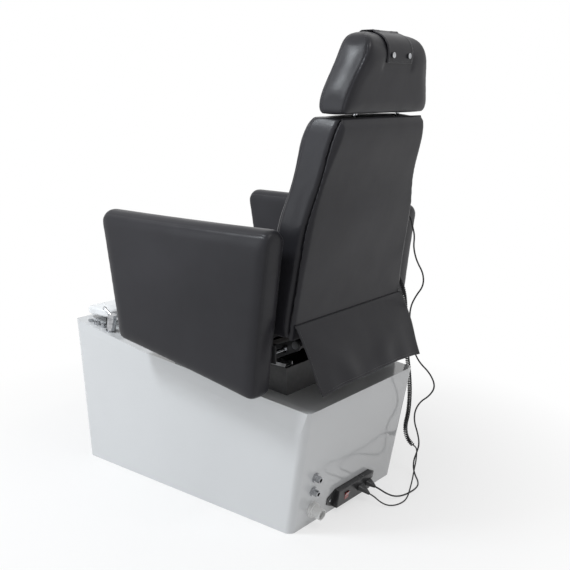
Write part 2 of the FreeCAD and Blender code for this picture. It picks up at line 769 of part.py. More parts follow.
def make_jet_button():
    return rod(rim_point(JET_BUTTON_Y, -10.0), RIM_NORMAL, BUTTON_OD / 2.0 - FIT_GAP,
               10.0 + BUTTON_PROUD)


def rim_knob(y, diameter, height):
    """A low round knob with a pointer rib, on a stem through the rim."""
    knob = rod(rim_point(y, FIT_GAP), RIM_NORMAL, diameter / 2.0, height)
    shaft = rod(rim_point(y, -14.0), RIM_NORMAL, diameter / 4.0 - PIN_GAP, 15.0)
    rib = box(-1.5, 1.5, -diameter / 2.2, diameter / 2.2, -1.0, 2.0)
    rib.Placement = FreeCAD.Placement(rim_point(y, height + FIT_GAP),
                                      FreeCAD.Rotation(AXIS_X, -math.degrees(RIM_TILT)))
    return knob.fuse([shaft, rib]).removeSplitter()


def make_faucet_body():
    """Column with a down-turned spout that reaches over the basin."""
    column = rod(rim_point(FAUCET_Y), RIM_NORMAL, FAUCET_OD / 2.0, FAUCET_HEIGHT)
    base = rod(rim_point(FAUCET_Y), RIM_NORMAL, FAUCET_OD / 2.0 + 3.0, 4.0)
    shank = rod(rim_point(FAUCET_Y, -SHANK_LENGTH), RIM_NORMAL, FAUCET_OD / 4.0,
                SHANK_LENGTH + 2.0)
    start = rim_point(FAUCET_Y, FAUCET_HEIGHT * 0.6)
    points = [tuple(start), (FITTING_X - SPOUT_REACH * 0.75, start.y, start.z + 10.0),
              (FITTING_X - SPOUT_REACH, start.y, start.z - 16.0)]
    spout = tube("faucet_spout", points, SPOUT_OD / 2.0)
    return column.fuse([base, shank, spout]).removeSplitter()


def make_faucet_lever():
    """Mixing lever on top of the faucet, pointing forward and up."""
    cap = rod(rim_point(FAUCET_Y, FAUCET_HEIGHT + FIT_GAP), RIM_NORMAL, FAUCET_OD / 2.0 - 1.0, 11.0)
    start = rim_point(FAUCET_Y, FAUCET_HEIGHT + 6.0)
    rise = math.radians(LEVER_RISE)
    ahead = Vector(0, -math.cos(rise), math.sin(rise))
    grip = rod(start, ahead, 5.0, LEVER_LENGTH)
    knob = Part.makeSphere(6.5, start + ahead * LEVER_LENGTH)
    return cap.fuse([grip, knob]).removeSplitter()


# Footrest

FOOTREST_PIVOT_Y = FOOTREST_FRONT_Y + 4.0
FOOTREST_PIVOT_Z = FOOTREST_UNDERSIDE - FOOTREST_KNUCKLE_R - 0.5


def make_footrest():
    """Crowned white plate across the front of the basin, with two hinge knuckles below."""
    top = FOOTREST_UNDERSIDE + FOOTREST_THICKNESS
    corners = level_corners(FOOTREST_HALF_WIDTH, FOOTREST_FRONT_Y, FOOTREST_REAR_Y, 0.0)

    def outline(z, inset):
        raised = [c + AXIS_Z * z for c in shrink(corners, inset)]
        return bowed_ring(raised, FOOTREST_CORNER - inset * 0.4, 0.0)

    plate = Part.makeLoft([outline(FOOTREST_UNDERSIDE, 5.0), outline(FOOTREST_UNDERSIDE + 5.0, 0.0),
                           outline(top - 5.0, 0.0), outline(top, 6.0),
                           outline(top + FOOTREST_CROWN, 38.0)], True, True)
    y, z = FOOTREST_PIVOT_Y, FOOTREST_PIVOT_Z
    for side in (-1, 1):
        x = side * FOOTREST_HINGE_X
        lug = rod(Vector(x - 12.0, y, z), AXIS_X, FOOTREST_KNUCKLE_R, 24.0)
        web = box(x - 12.0, x + 12.0, y, y + 14.0, z, FOOTREST_UNDERSIDE + 3.0)
        bore = rod(Vector(x - 20.0, y, z), AXIS_X, FOOTREST_PIN_R + PIN_GAP, 40.0)
        plate = plate.fuse([lug, web]).cut(bore)
    return plate.removeSplitter()


def make_footrest_hinges():
    """Two pairs of ears on the front rim, each pair with its pin."""
    y, z, r = FOOTREST_PIVOT_Y, FOOTREST_PIVOT_Z, FOOTREST_KNUCKLE_R
    parts = []
    for side in (-1, 1):
        x = side * FOOTREST_HINGE_X
        pin = rod(Vector(x - 18.0, y, z), AXIS_X, FOOTREST_PIN_R, 36.0)
        ears = []
        for x0 in (x - 18.0, x + 12.5):
            ears.append(prism_x([(y - r, deck_height(y - r)), (y + r, deck_height(y + r)),
                                 (y + r, z), (y - r, z)], x0, x0 + 5.5))
            ears.append(rod(Vector(x0, y, z), AXIS_X, r, 5.5))
        parts.append(pin.fuse(ears).cut(below_deck(0.0)).removeSplitter())
    return Part.makeCompound(parts)


def make_footrest_stops():
    """Rubber blocks on the rim that carry the footrest's rear edge."""
    x1 = FOOTREST_HALF_WIDTH - 3.0
    y1 = FOOTREST_REAR_Y - 4.0
    block = box(x1 - 14.0, x1, y1 - 20.0, y1, 440.0, FOOTREST_UNDERSIDE - FIT_GAP)
    return both_sides(block.cut(below_deck(0.0)))


# Power box, drawn with Y outward and Z up from its centre, then leant onto the rear face

POWER_SPOT = Vector(0, rear_face_y(POWER_CENTRE_Z), POWER_CENTRE_Z)
POWER_TURN = FreeCAD.Rotation(AXIS_X, -math.degrees(REAR_TILT))
SOCKET_FACE = POWER_BODY_DEPTH + 1.5


def rear_local(shape):
    turned = shape.copy()
    turned.Placement = FreeCAD.Placement(POWER_SPOT, POWER_TURN)
    return turned


def make_power_box():
    """Black box with a six-sided flange and openings for the rocker and the sockets."""
    half = POWER_BODY_WIDTH / 2.0
    tall = POWER_BODY_HEIGHT / 2.0
    tip = POWER_TIP_HEIGHT / 2.0
    cx = POWER_CENTRE_X
    t = POWER_WALL
    reach = POWER_TIP_REACH
    outline = [(cx - reach, -tip), (cx - half, -tall - 1), (cx + half, -tall - 1),
               (cx + reach, -tip), (cx + reach, tip), (cx + half, tall + 1),
               (cx - half, tall + 1), (cx - reach, tip)]
    corners = [Vector(x, 0, z) for x, z in outline]
    flange = Part.Face(Part.makePolygon(corners + corners[:1])).extrude(AXIS_Y * t)
    body = box(cx - half, cx + half, 0, POWER_BODY_DEPTH, -tall, tall)
    body = body.makeFillet(2.5, [e for e in body.Edges if e.BoundBox.YMin > POWER_BODY_DEPTH - 1])
    case = flange.fuse(body)
    case = case.cut(box(cx - half + t, cx + half - t, t, POWER_BODY_DEPTH - t, -tall + t, tall - t))
    holes = [(ROCKER_X, ROCKER_WIDTH, ROCKER_HEIGHT)]
    holes += [(x, SOCKET_WIDTH, SOCKET_HEIGHT) for x in SOCKET_X]
    for x, width, height in holes:
        case = case.cut(box(x - width / 2.0, x + width / 2.0, 8.0, POWER_BODY_DEPTH + 1,
                            -height / 2.0, height / 2.0))
    return rear_local(case.removeSplitter())


def make_power_screws():
    parts = []
    for side in (-1, 1):
        x = POWER_CENTRE_X + side * (POWER_TIP_REACH - 13.0)
        head = rod(Vector(x, POWER_WALL, 0), AXIS_Y, 4.5, 2.4)
        slot = box(x - 5, x + 5, POWER_WALL + 1.4, POWER_WALL + 3, -0.6, 0.6)
        parts.append(rear_local(head.cut(slot)))
    return Part.makeCompound(parts)


def make_power_rocker():
    """Red rocker, pressed at its lower end, that tips about a line in the box's face."""
    half = ROCKER_WIDTH / 2.0 - FIT_GAP
    h = ROCKER_HEIGHT / 2.0 - 1.0
    face = POWER_BODY_DEPTH
    profile = [(face - 7.0, -h + 4), (face - 7.0, h - 4), (face + 4.4, h), (face + 0.4, 0.0),
               (face + 0.6, -h)]
    return rear_local(prism_x(profile, ROCKER_X - half, ROCKER_X + half))


def make_power_sockets():
    """Two inlet cups that the plugs push into."""
    w, h, t = SOCKET_WIDTH / 2.0, SOCKET_HEIGHT / 2.0, POWER_WALL
    parts = []
    for x in SOCKET_X:
        cup = box(x - w, x + w, t, SOCKET_FACE, -h, h)
        room = box(x - w + t, x + w - t, 9.0, SOCKET_FACE + 1, -h + t, h - t)
        parts.append(rear_local(cup.cut(room)))
    return Part.makeCompound(parts)


def make_plug(x, length, droop):
    """A mains plug with a tapered neck that droops to its cord."""
    w = SOCKET_WIDTH / 2.0 - POWER_WALL - FIT_GAP
    h = SOCKET_HEIGHT / 2.0 - POWER_WALL - FIT_GAP
    face = SOCKET_FACE
    nose = box(x - w, x + w, 10.0, face + 1.0, -h, h)

    def section(y, half_x, half_z, drop, radius):
        corners = [Vector(x + half_x, y, -half_z - drop), Vector(x + half_x, y, half_z - drop),
                   Vector(x - half_x, y, half_z - drop), Vector(x - half_x, y, -half_z - drop)]
        return bowed_ring(corners, radius, 0.0)

    grip = Part.makeLoft([section(face, 15.0, 9.0, 0.0, 4.0),
                          section(face + length * 0.5, 10.0, 7.0, droop * 0.4, 4.0),
                          section(face + length, PLUG_NECK_R, PLUG_NECK_R, droop, 3.8)],
                         True, True)
    return rear_local(nose.fuse(grip).removeSplitter())


def plug_exit(x, length, droop, run=0.0):
    """Where the cord leaves a plug, or a straight run further out."""
    place = Vector(x, SOCKET_FACE + length, -droop)
    return POWER_SPOT + POWER_TURN.multVec(place) + REAR_NORMAL * run


# Seat support

FRAME_LOW = PLINTH_TOP + 25.0
FRAME_HIGH = FRAME_LOW + FRAME_TUBE
BOARD_TOP = FRAME_HIGH + SEAT_BOARD


def make_plinth():
    """Open steel tray on the deck, with a channel under each slide rail."""
    t = PLINTH_SHEET
    half, inner = PLINTH_HALF_WIDTH, PLINTH_HALF_WIDTH - PLINTH_CHANNEL
    y0, y1, top = PLINTH_FRONT_Y, PLINTH_REAR_Y, PLINTH_TOP
    low = DECK_REAR_HEIGHT - 30.0
    tray = box(-half, half, y0, y1, low, top).cut(box(-inner, inner, y0 + t, y1 - t, low, top))
    channel = box(inner + t, half - t, y0 + t, y1 - t, low, top - t)
    tray = tray.cut(channel).cut(mirrored(channel))
    notch = PLINTH_NOTCH_WIDTH / 2.0
    tray = tray.cut(box(-notch, notch, y0 - t, y1 + t, PLINTH_NOTCH_HEIGHT, top))
    floor = box(-half, half, y0, y1, low, top).common(below_deck(t))
    return tray.fuse(floor).cut(below_deck(0.0)).removeSplitter()


def make_slide_rails():
    """Two open channels on the plinth."""
    low, high = PLINTH_TOP, PLINTH_TOP + RAIL_HEIGHT
    half, t = RAIL_WIDTH / 2.0, RAIL_SHEET
    y0, y1 = PLINTH_FRONT_Y + 5.0, PLINTH_REAR_Y - 8.0
    rail = box(RAIL_X - half, RAIL_X + half, y0, y1, low, high)
    return both_sides(rail.cut(box(RAIL_X - half + t, RAIL_X + half - t, y0, y1, low + t, high)))


def slide_runner():
    """A foot that slides in a rail and the web that carries the seat frame."""
    low = PLINTH_TOP + RAIL_SHEET + FIT_GAP
    half = RAIL_WIDTH / 2.0 - RAIL_SHEET - FIT_GAP
    y0, y1 = PLINTH_FRONT_Y + 65.0, FRAME_REAR_Y - 4.0
    foot = box(RAIL_X - half, RAIL_X + half, y0, y1, low, low + 7.0)
    web = box(RAIL_X - 7.0, RAIL_X + 7.0, y0, y1, low, FRAME_LOW)
    return foot.fuse(web).removeSplitter()


def recline_plate():
    """Hinge plate that rises from the seat frame to the recline pivot."""
    y, z = BACK_PIVOT_Y, BACK_PIVOT_Z
    x0 = FRAME_HALF_WIDTH
    outline = [(FRAME_REAR_Y - 70.0, FRAME_LOW), (FRAME_REAR_Y + 8.0, FRAME_LOW),
               (y + 12.0, z - 14.0), (y + 18.0, z), (y, z + 18.0), (y - 18.0, z + 12.0),
               (FRAME_REAR_Y - 20.0, FRAME_HIGH), (FRAME_REAR_Y - 70.0, FRAME_HIGH)]
    plate = prism_x(outline, x0, x0 + HINGE_PLATE)
    return plate.cut(rod(Vector(x0 - 5, y, z), AXIS_X, PIN_R, 20.0))


def arm_stop():
    """Peg on the seat frame that holds an armrest level."""
    reach = ARM_INNER_X - FRAME_HALF_WIDTH - 1.0
    return rod(Vector(FRAME_HALF_WIDTH, ARM_STOP_Y, ARM_STOP_Z), AXIS_X, ARM_STOP_R, reach)


def actuator_ear(side):
    """Lug under the middle cross tube with a bearing for the actuator's trunnion."""
    x0 = side * 27.0 - LEVER_SHEET / 2.0
    y, z = ACTUATOR_Y, ACTUATOR_Z
    lug = prism_x([(y - 14, FRAME_LOW), (y - 12, z - 12), (y + 12, z - 12), (y + 14, FRAME_LOW)],
                  x0, x0 + LEVER_SHEET)
    return lug.cut(rod(Vector(x0 - 5, y, z), AXIS_X, ACTUATOR_PIN_R + PIN_GAP, 20.0))


def make_seat_frame():
    """Welded frame: side and cross tubes, runners, hinge plates, arm pegs and actuator ears."""
    w, t = FRAME_HALF_WIDTH, FRAME_TUBE
    inner = w - t - 14.0
    side_tube = square_tube(inner, w, FRAME_FRONT_Y, FRAME_REAR_Y, FRAME_LOW, FRAME_HIGH)
    parts = []
    for piece in (side_tube, slide_runner(), recline_plate(), arm_stop()):
        parts += [piece, mirrored(piece)]
    for y in (FRAME_FRONT_Y, ACTUATOR_Y - t / 2.0, FRAME_REAR_Y - 60.0):
        parts.append(square_tube(-inner, inner, y, y + t, FRAME_LOW, FRAME_HIGH))
    parts += [actuator_ear(-1), actuator_ear(1), slide_lever_clip()]
    return Part.makeCompound(parts)


def make_recline_pins():
    """Two headed pins fixed in the hinge plates."""
    centre = Vector(BACK_ARM_X + 20.0, BACK_PIVOT_Y, BACK_PIVOT_Z)
    length = FRAME_HALF_WIDTH + HINGE_PLATE - centre.x
    pin = rod(centre, AXIS_X, PIN_R, length)
    head = rod(centre + AXIS_X * length, AXIS_X, PIN_R + 4.0, 4.0)
    return both_sides(pin.fuse(head).removeSplitter())


def make_seat_board():
    corners = level_corners(SEAT_HALF_WIDTH - 6.0, SEAT_FRONT_Y + 8.0, SEAT_REAR_Y - 8.0, FRAME_HIGH)
    return Part.Face(bowed_ring(corners, 20.0, 0.0)).extrude(AXIS_Z * SEAT_BOARD)


def make_seat_cushion():
    """Crowned seat cushion with drawn-in sides and a softened front edge."""
    levels = ((0.0, 7.0, 0.0, -3.0), (0.18, 1.5, 0.0, -4.0), (0.55, 0.0, 0.0, -5.0),
              (0.80, 6.0, 8.0, -4.0), (0.93, 24.0, 24.0, 0.0), (1.0, 70.0, 40.0, 0.0),
              (1.05, 140.0, 40.0, 0.0))
    wires = []
    for rise, inset, front_extra, bow in levels:
        corners = level_corners(SEAT_HALF_WIDTH - inset, SEAT_FRONT_Y + inset + front_extra,
                                SEAT_REAR_Y - inset, BOARD_TOP + SEAT_THICKNESS * rise)
        wires.append(bowed_ring(corners, 34.0, bow))
    return Part.makeLoft(wires, True, False)


SLIDE_LEVER_Y = FRAME_FRONT_Y + 60.0
SLIDE_LEVER_Z = FRAME_LOW - 8.0
SLIDE_LEVER_R = 4.0


def make_slide_lever():
    """Bent bar under the seat's left side that frees the slide."""
    x, y, z = FRAME_HALF_WIDTH - 17.0, SLIDE_LEVER_Y, SLIDE_LEVER_Z
    points = [(x, y, z), (x + 44.0, y, z), (x + 50.0, y - 52.0, z), (x + 50.0, y - 108.0, z - 2.0)]
    return tube("slide_lever", points, SLIDE_LEVER_R)


def slide_lever_clip():
    """Bearing block for the slide lever under the seat frame."""
    x1, y, z = FRAME_HALF_WIDTH, SLIDE_LEVER_Y, SLIDE_LEVER_Z
    block = box(x1 - 10.0, x1, y - 9, y + 9, z - 8, FRAME_LOW)
    return block.cut(rod(Vector(x1 - 15, y, z), AXIS_X, SLIDE_LEVER_R + PIN_GAP, 20.0))


# Backrest: heights are on its straight chord, depths are square to the chord and forward

BACK_RUN = BACK_TOP_Z - FLAP_TOP_Z
BACK_LEAN = math.atan2(BACK_TOP_Y - BACK_BOTTOM_Y, BACK_RUN)
BACK_UP = Vector(0, math.sin(BACK_LEAN), math.cos(BACK_LEAN))
BACK_FORWARD = Vector(0, -math.cos(BACK_LEAN), math.sin(BACK_LEAN))
FRAME_DEPTH = 26.0
BOARD_DEPTH = FRAME_DEPTH + BACK_FRAME_BAR
POST_DEPTH = FRAME_DEPTH + 10.0


def back_rear_y(z):
    """The rear face of the backrest, which leans and is a little hollow."""
    t = (z - FLAP_TOP_Z) / BACK_RUN
    return BACK_BOTTOM_Y + (BACK_TOP_Y - BACK_BOTTOM_Y) * t - BACK_HOLLOW * 4.0 * t * (1.0 - t)


def back_half_width(z):
    """Half of the backrest's width: it narrows in two straight stretches."""
    if z < BACK_WAIST_Z:
        t = (z - FLAP_TOP_Z) / (BACK_WAIST_Z - FLAP_TOP_Z)
        return BACK_HALF_BOTTOM + (BACK_HALF_WAIST - BACK_HALF_BOTTOM) * t
    t = (z - BACK_WAIST_Z) / (BACK_TOP_Z - BACK_WAIST_Z)
    return BACK_HALF_WAIST + (BACK_HALF_TOP - BACK_HALF_WAIST) * t


def back_point(x, z, depth):
    chord = Vector(x, BACK_BOTTOM_Y + math.tan(BACK_LEAN) * (z - FLAP_TOP_Z), z)
    return chord + BACK_FORWARD * depth


def back_slab(z0, z1, half0, half1, depth0, depth1):
    """A flat slab parallel to the backrest's chord, tapering in width."""
    corners = [back_point(half0, z0, depth0), back_point(half1, z1, depth0),
               back_point(-half1, z1, depth0), back_point(-half0, z0, depth0)]
    face = Part.Face(Part.makePolygon(corners + corners[:1]))
    return face.extrude(BACK_FORWARD * (depth1 - depth0))


def make_backrest_cushion():
    """Foam and cover of the backrest, open behind and below for the board and frame."""
    wires = []
    for z in (BACK_BOTTOM_Z, 680.0, 830.0, BACK_WAIST_Z, 1110.0, BACK_TOP_Z - 18.0, BACK_TOP_Z):
        edge = 7.0 if z in (BACK_BOTTOM_Z, BACK_TOP_Z) else 0.0
        corners = level_corners(back_half_width(z) - edge, back_rear_y(z) - BACK_THICKNESS + edge,
                                back_rear_y(z) - BACK_PANEL, z)
        wires.append(bowed_ring(corners, 22.0, -2.0))
    body = Part.makeLoft(wires, True, False)
    room = back_slab(BACK_BOTTOM_Z - 40.0, BACK_FRAME_TOP_Z + 12.0, BACK_ARM_X + 40.0,
                     BACK_ARM_X + 4.0, -20.0, BOARD_DEPTH + BACK_BOARD + FIT_GAP)
    body = body.cut(room)
    for side in (-1, 1):
        body = body.cut(rod(post_foot(side), BACK_UP, POST_R + GUIDE_WALL, POST_LENGTH))
    return body


def make_backrest_rear_panel():
    """Upholstered panel that closes the back, with softened edges."""
    wires = []
    for z in (BACK_BOTTOM_Z, 680.0, 830.0, BACK_WAIST_Z, 1110.0, BACK_TOP_Z - 10.0,
              BACK_TOP_Z - 1.0):
        edge = 4.0 if z > BACK_TOP_Z - 5.0 else 0.0
        corners = level_corners(back_half_width(z) - 2.0 - edge,
                                back_rear_y(z) - BACK_PANEL + FIT_GAP, back_rear_y(z) - edge, z)
        wires.append(bowed_ring(corners, 5.0, 0.0))
    return Part.makeLoft(wires, True, False)


def make_backrest_board():
    """Plywood board that the foam and the frame are fixed to."""
    return back_slab(BACK_BOTTOM_Z + 34.0, BACK_FRAME_TOP_Z, BACK_ARM_X + 32.0,
                     BACK_ARM_X, BOARD_DEPTH, BOARD_DEPTH + BACK_BOARD)


def backrest_arm(side):
    """Flat bar from a pivot boss up the backrest."""
    x0, x1 = BACK_ARM_X - BACK_ARM_WIDTH / 2.0, BACK_ARM_X + BACK_ARM_WIDTH / 2.0
    y, z = BACK_PIVOT_Y, BACK_PIVOT_Z
    low = back_point(x0, BACK_BOTTOM_Z + 20.0, FRAME_DEPTH)
    high = back_point(x0, BACK_FRAME_TOP_Z, FRAME_DEPTH)
    deep = BACK_FORWARD * BACK_FRAME_BAR
    face = Part.Face(Part.makePolygon([low, high, high + deep, low + deep, low]))
    bar = face.extrude(AXIS_X * BACK_ARM_WIDTH)
    rear_corner = low + BACK_UP * 6.0
    front_corner = rear_corner + deep
    neck = prism_x([(y - 14, z - 4), (y + 8, z), (rear_corner.y, rear_corner.z),
                    (front_corner.y, front_corner.z)], x0, x1)
    boss = rod(Vector(x0, y, z), AXIS_X, PIVOT_BOSS_R, FRAME_HALF_WIDTH - 1.0 - x0)
    bore = rod(Vector(BACK_ARM_X + 19.0, y, z), AXIS_X, PIN_R + PIN_GAP, 40.0)
    arm = boss.fuse([bar, neck]).cut(bore).removeSplitter()
    return arm if side > 0 else mirrored(arm)


def lever_ear(x0):
    """Plate that hangs from the pivot beam and takes the actuator's pin in a roomy hole."""
    y, z = BACK_PIVOT_Y, BACK_PIVOT_Z
    ly, lz = y + LEVER_DY, z + LEVER_DZ
    plate = prism_x([(y - 12, z), (y + 12, z), (ly + 14, lz), (ly + 7, lz - 14), (ly - 7, lz - 14),
                     (ly - 14, lz)], x0, x0 + LEVER_SHEET)
    beam = rod(Vector(x0 - 5, y, z), AXIS_X, PIVOT_BEAM_R, LEVER_SHEET + 10.0)
    hole = rod(Vector(x0 - 5, ly, lz), AXIS_X, ACTUATOR_PIN_R + LEVER_CLEARANCE,
               LEVER_SHEET + 10.0)
    return plate.cut(beam).cut(hole)


def make_backrest_frame():
    """Steel frame: arms, pivot beam, cross tubes, lever ears and the headrest's guides."""
    inner = BACK_ARM_X - BACK_ARM_WIDTH / 2.0
    parts = [backrest_arm(-1), backrest_arm(1)]
    parts.append(rod(Vector(-inner, BACK_PIVOT_Y, BACK_PIVOT_Z), AXIS_X, PIVOT_BEAM_R, 2 * inner))
    gap = ACTUATOR_ROD_OD / 2.0 + 6.0
    parts += [lever_ear(gap), lever_ear(-gap - LEVER_SHEET)]
    t = TUBE_WALL
    for z in (BACK_BOTTOM_Z + 44.0, 880.0):
        bar = back_slab(z, z + 22.0, inner, inner, FRAME_DEPTH, BOARD_DEPTH)
        parts.append(bar.cut(back_slab(z + t, z + 22.0 - t, inner, inner, FRAME_DEPTH + t,
                                       BOARD_DEPTH - t)))
    reach = POST_R + GUIDE_WALL
    strip_z = BACK_FRAME_TOP_Z - 40.0
    parts.append(back_slab(strip_z, strip_z + 30.0, inner, inner, FRAME_DEPTH - 3.0,
                           POST_DEPTH - reach))
    top = (BACK_TOP_Z - BACK_FRAME_TOP_Z + 104.0) / math.cos(BACK_LEAN)
    for side in (-1, 1):
        foot = back_point(side * POST_X, BACK_FRAME_TOP_Z - 110.0, POST_DEPTH)
        parts.append(ring(foot, BACK_UP, reach, POST_R + PIN_GAP, top))
    return Part.makeCompound(parts)


def make_massage_motors():
    """Two flat vibration motors on the rear of the board."""
    return Part.makeCompound([rod(back_point(0.0, z, BOARD_DEPTH), BACK_FORWARD * -1.0,
                                  MOTOR_OD / 2.0, MOTOR_DEPTH) for z in MOTOR_HEIGHTS])


def make_rear_flap():
    """Stiff leather skirt below the rear panel, gently waved along its lower edge."""
    t = FLAP_THICKNESS

    def wave_edges(xs, y, z, bulge):
        edges = []
        for x0, x1, sign in ((xs[0], xs[1], 1), (xs[1], xs[2], -1)):
            start, end = Vector(x0, y, z), Vector(x1, y, z)
            peak = (start + end) * 0.5 + AXIS_Y * (bulge * sign)
            edges.append(Part.Arc(start, peak, end).toShape())
        return edges

    def strip(y, z, half, bulge):
        near = wave_edges((half, 0.0, -half), y, z, bulge)
        far = wave_edges((-half, 0.0, half), y + t, z, -bulge)
        left = Part.makeLine(Vector(-half, y, z), Vector(-half, y + t, z))
        right = Part.makeLine(Vector(half, y + t, z), Vector(half, y, z))
        return Part.Wire(near + [left] + far + [right])

    top_y = back_rear_y(FLAP_TOP_Z) + FIT_GAP + FLAP_TOP_WAVE
    rows = []
    for part, wave in ((0.0, FLAP_TOP_WAVE), (0.12, 0.1 * FLAP_WAVE), (0.6, 0.5 * FLAP_WAVE),
                       (1.0, FLAP_WAVE)):
        y = top_y + (FLAP_BOTTOM_Y - top_y) * part
        z = FLAP_TOP_Z + (FLAP_BOTTOM_Z - FLAP_TOP_Z) * part
        half = FLAP_HALF_TOP + (FLAP_HALF_BOTTOM - FLAP_HALF_TOP) * part
        rows.append(strip(y, z, half, wave))
    return Part.makeLoft(rows, True, False)


# Actuator: its line runs from the trunnion to the pin in the backrest's lever

ACTUATOR_PIVOT = Vector(0, ACTUATOR_Y, ACTUATOR_Z)
ACTUATOR_REACH = Vector(0, BACK_PIVOT_Y + LEVER_DY, BACK_PIVOT_Z + LEVER_DZ) - ACTUATOR_PIVOT
ACTUATOR_AXIS = Vector(ACTUATOR_REACH).normalize()


def make_actuator_body():
    """Motor housing and outer tube, with a trunnion that turns in the seat frame's ears."""
    origin, axis = ACTUATOR_PIVOT, ACTUATOR_AXIS
    eye = rod(origin - AXIS_X * 16.0, AXIS_X, 13.0, 32.0)
    trunnion = rod(origin - AXIS_X * 30.0, AXIS_X, ACTUATOR_PIN_R, 60.0)
    neck = rod(origin, axis, 11.0, 26.0)
    housing = rod(origin + axis * 24.0, axis, ACTUATOR_MOTOR_OD / 2.0, 66.0)
    outer = rod(origin + axis * 88.0, axis, ACTUATOR_TUBE_OD / 2.0, ACTUATOR_TUBE_END - 88.0)
    bore = rod(origin + axis * 92.0, axis, ACTUATOR_ROD_OD / 2.0 + PIN_GAP, ACTUATOR_TUBE_END)
    return housing.fuse([eye, trunnion, neck, outer]).cut(bore).removeSplitter()


def make_actuator_rod():
    """Push rod with its cross pin through the backrest lever."""
    end = ACTUATOR_PIVOT + ACTUATOR_REACH
    shaft = rod(ACTUATOR_PIVOT + ACTUATOR_AXIS * ACTUATOR_ROD_START, ACTUATOR_AXIS,
                ACTUATOR_ROD_OD / 2.0, ACTUATOR_REACH.Length - ACTUATOR_ROD_START)
    eye = rod(end - AXIS_X * 14.0, AXIS_X, 12.0, 28.0)
    pin = rod(end - AXIS_X * 26.0, AXIS_X, ACTUATOR_PIN_R, 52.0)
    return shaft.fuse([eye, pin]).removeSplitter()


# Headrest, as the height, half width, front and rear of each level section

HEAD_LEVELS = ((HEAD_BOTTOM_Z, 210.0, 523.0, 604.0), (1268.0, 217.0, 515.0, 612.0),
               (1300.0, 212.0, 512.0, 620.0), (1360.0, 187.0, 521.0, 633.0),
               (1420.0, 158.0, 531.0, 646.0), (1448.0, 146.0, 536.0, 640.0),
               (1470.0, 128.0, 543.0, 618.0), (1481.0, 92.0, 556.0, 592.0))


def post_foot(side):
    """The lower end of a headrest post."""
    return back_point(side * POST_X, HEAD_BOTTOM_Z + POST_IN_PAD, POST_DEPTH) - BACK_UP * POST_LENGTH


def make_headrest_posts():
    return Part.makeCompound([rod(post_foot(side), BACK_UP, POST_R, POST_LENGTH)
                              for side in (-1, 1)])


def headrest_block(grow):
    """The pad's rounded wedge, made larger by grow."""
    wires = []
    for z, half, front, rear in HEAD_LEVELS:
        lift = grow if z == HEAD_LEVELS[-1][0] else 0.0
        corners = level_corners(half + grow, front - grow, rear + grow, z + lift)
        wires.append(bowed_ring(corners, 16.0, -1.5))
    return Part.makeLoft(wires, True, False)


def make_headrest_pad():
    return headrest_block(0.0).cut(make_headrest_posts())


def make_headrest_strap():
    """Leather strap over the top of the headrest and down its rear."""
    band = headrest_block(STRAP_THICKNESS).cut(headrest_block(0.0))
    rear = box(-STRAP_HALF_WIDTH, STRAP_HALF_WIDTH, 565.0, 700.0, STRAP_END_Z, 1520.0)
    crown = box(-STRAP_HALF_WIDTH, STRAP_HALF_WIDTH, 500.0, 600.0, 1440.0, 1520.0)
    return band.common(rear.fuse(crown))


def make_strap_studs():
    """Domed studs on the strap's lower end."""
    skin = headrest_block(STRAP_THICKNESS)
    parts = []
    for side in (-1, 1):
        start = Vector(side * STUD_X, 600.0, STUD_Z)
        rear = skin.common(Part.makeLine(start, start + AXIS_Y * 100.0)).BoundBox.YMax
        foot = Vector(start.x, rear - 3.0, STUD_Z)
        stud = rod(foot, AXIS_Y, 5.0, 6.0)
        cap = rod(foot + AXIS_Y * 5.0, AXIS_Y, 8.0, 2.5)
        parts.append(stud.fuse(cap).cut(skin).removeSplitter())
    return Part.makeCompound(parts)


# Armrests

def make_arm_pad(side):
    """Padded armrest slab, crowned along its top, with a hole for the pivot."""
    flat = [Vector(0, y, z) for y, z in ARM_CORNERS]
    wires = []
    for across, grow, lift in ((0.0, -4.0, 0.0), (0.06, -0.5, 0.2), (0.25, 3.0, 0.75),
                               (0.5, 4.0, 1.0), (0.75, 3.0, 0.75), (0.94, -0.5, 0.2),
                               (1.0, -4.0, 0.0)):
        x = ARM_INNER_X + across * ARM_THICKNESS
        corners = [c + AXIS_X * x for c in shrink(flat, -grow)]
        for i in (0, 3):
            corners[i] = corners[i] + AXIS_Z * ((ARM_CROWN - grow) * lift)
        wires.append(bowed_ring(corners, 24.0 + grow, -2.0))
    pad = Part.makeLoft(wires, True, False)
    spot = Vector(ARM_INNER_X - 5.0, ARM_PIVOT_Y, ARM_PIVOT_Z)
    pad = pad.cut(rod(spot, AXIS_X, ARM_BOSS_R, ARM_BOSS_LENGTH))
    return pad if side > 0 else mirrored(pad)


def make_arm_bracket(side):
    """Steel plate on the armrest's inner face, with the pivot boss and a notch for the peg."""
    x0 = ARM_INNER_X - ARM_BRACKET
    y, z = ARM_PIVOT_Y, ARM_PIVOT_Z
    low = ARM_STOP_Z - 16.0
    front = ARM_STOP_Y - 26.0
    plate = prism_x([(y + 20, z - 26), (y + 20, z + 26), (y - 40, z + 26), (front, z + 4),
                     (front, low), (ARM_STOP_Y + 30, low), (y - 40, z - 26)],
                    x0, x0 + ARM_BRACKET)
    boss = rod(Vector(x0, y, z), AXIS_X, ARM_BOSS_R, ARM_BOSS_LENGTH - 1.0)
    bore = rod(Vector(x0 - 1, y, z), AXIS_X, ARM_PIVOT_R + PIN_GAP, ARM_BOSS_LENGTH + 5.0)
    wide = ARM_STOP_R + 2.5
    notch = box(x0 - 1, ARM_INNER_X + 1, ARM_STOP_Y - wide, ARM_STOP_Y + wide, low - 1,
                ARM_STOP_Z + ARM_STOP_R + FIT_GAP)
    bracket = plate.fuse(boss).cut(bore).cut(notch).removeSplitter()
    return bracket if side > 0 else mirrored(bracket)


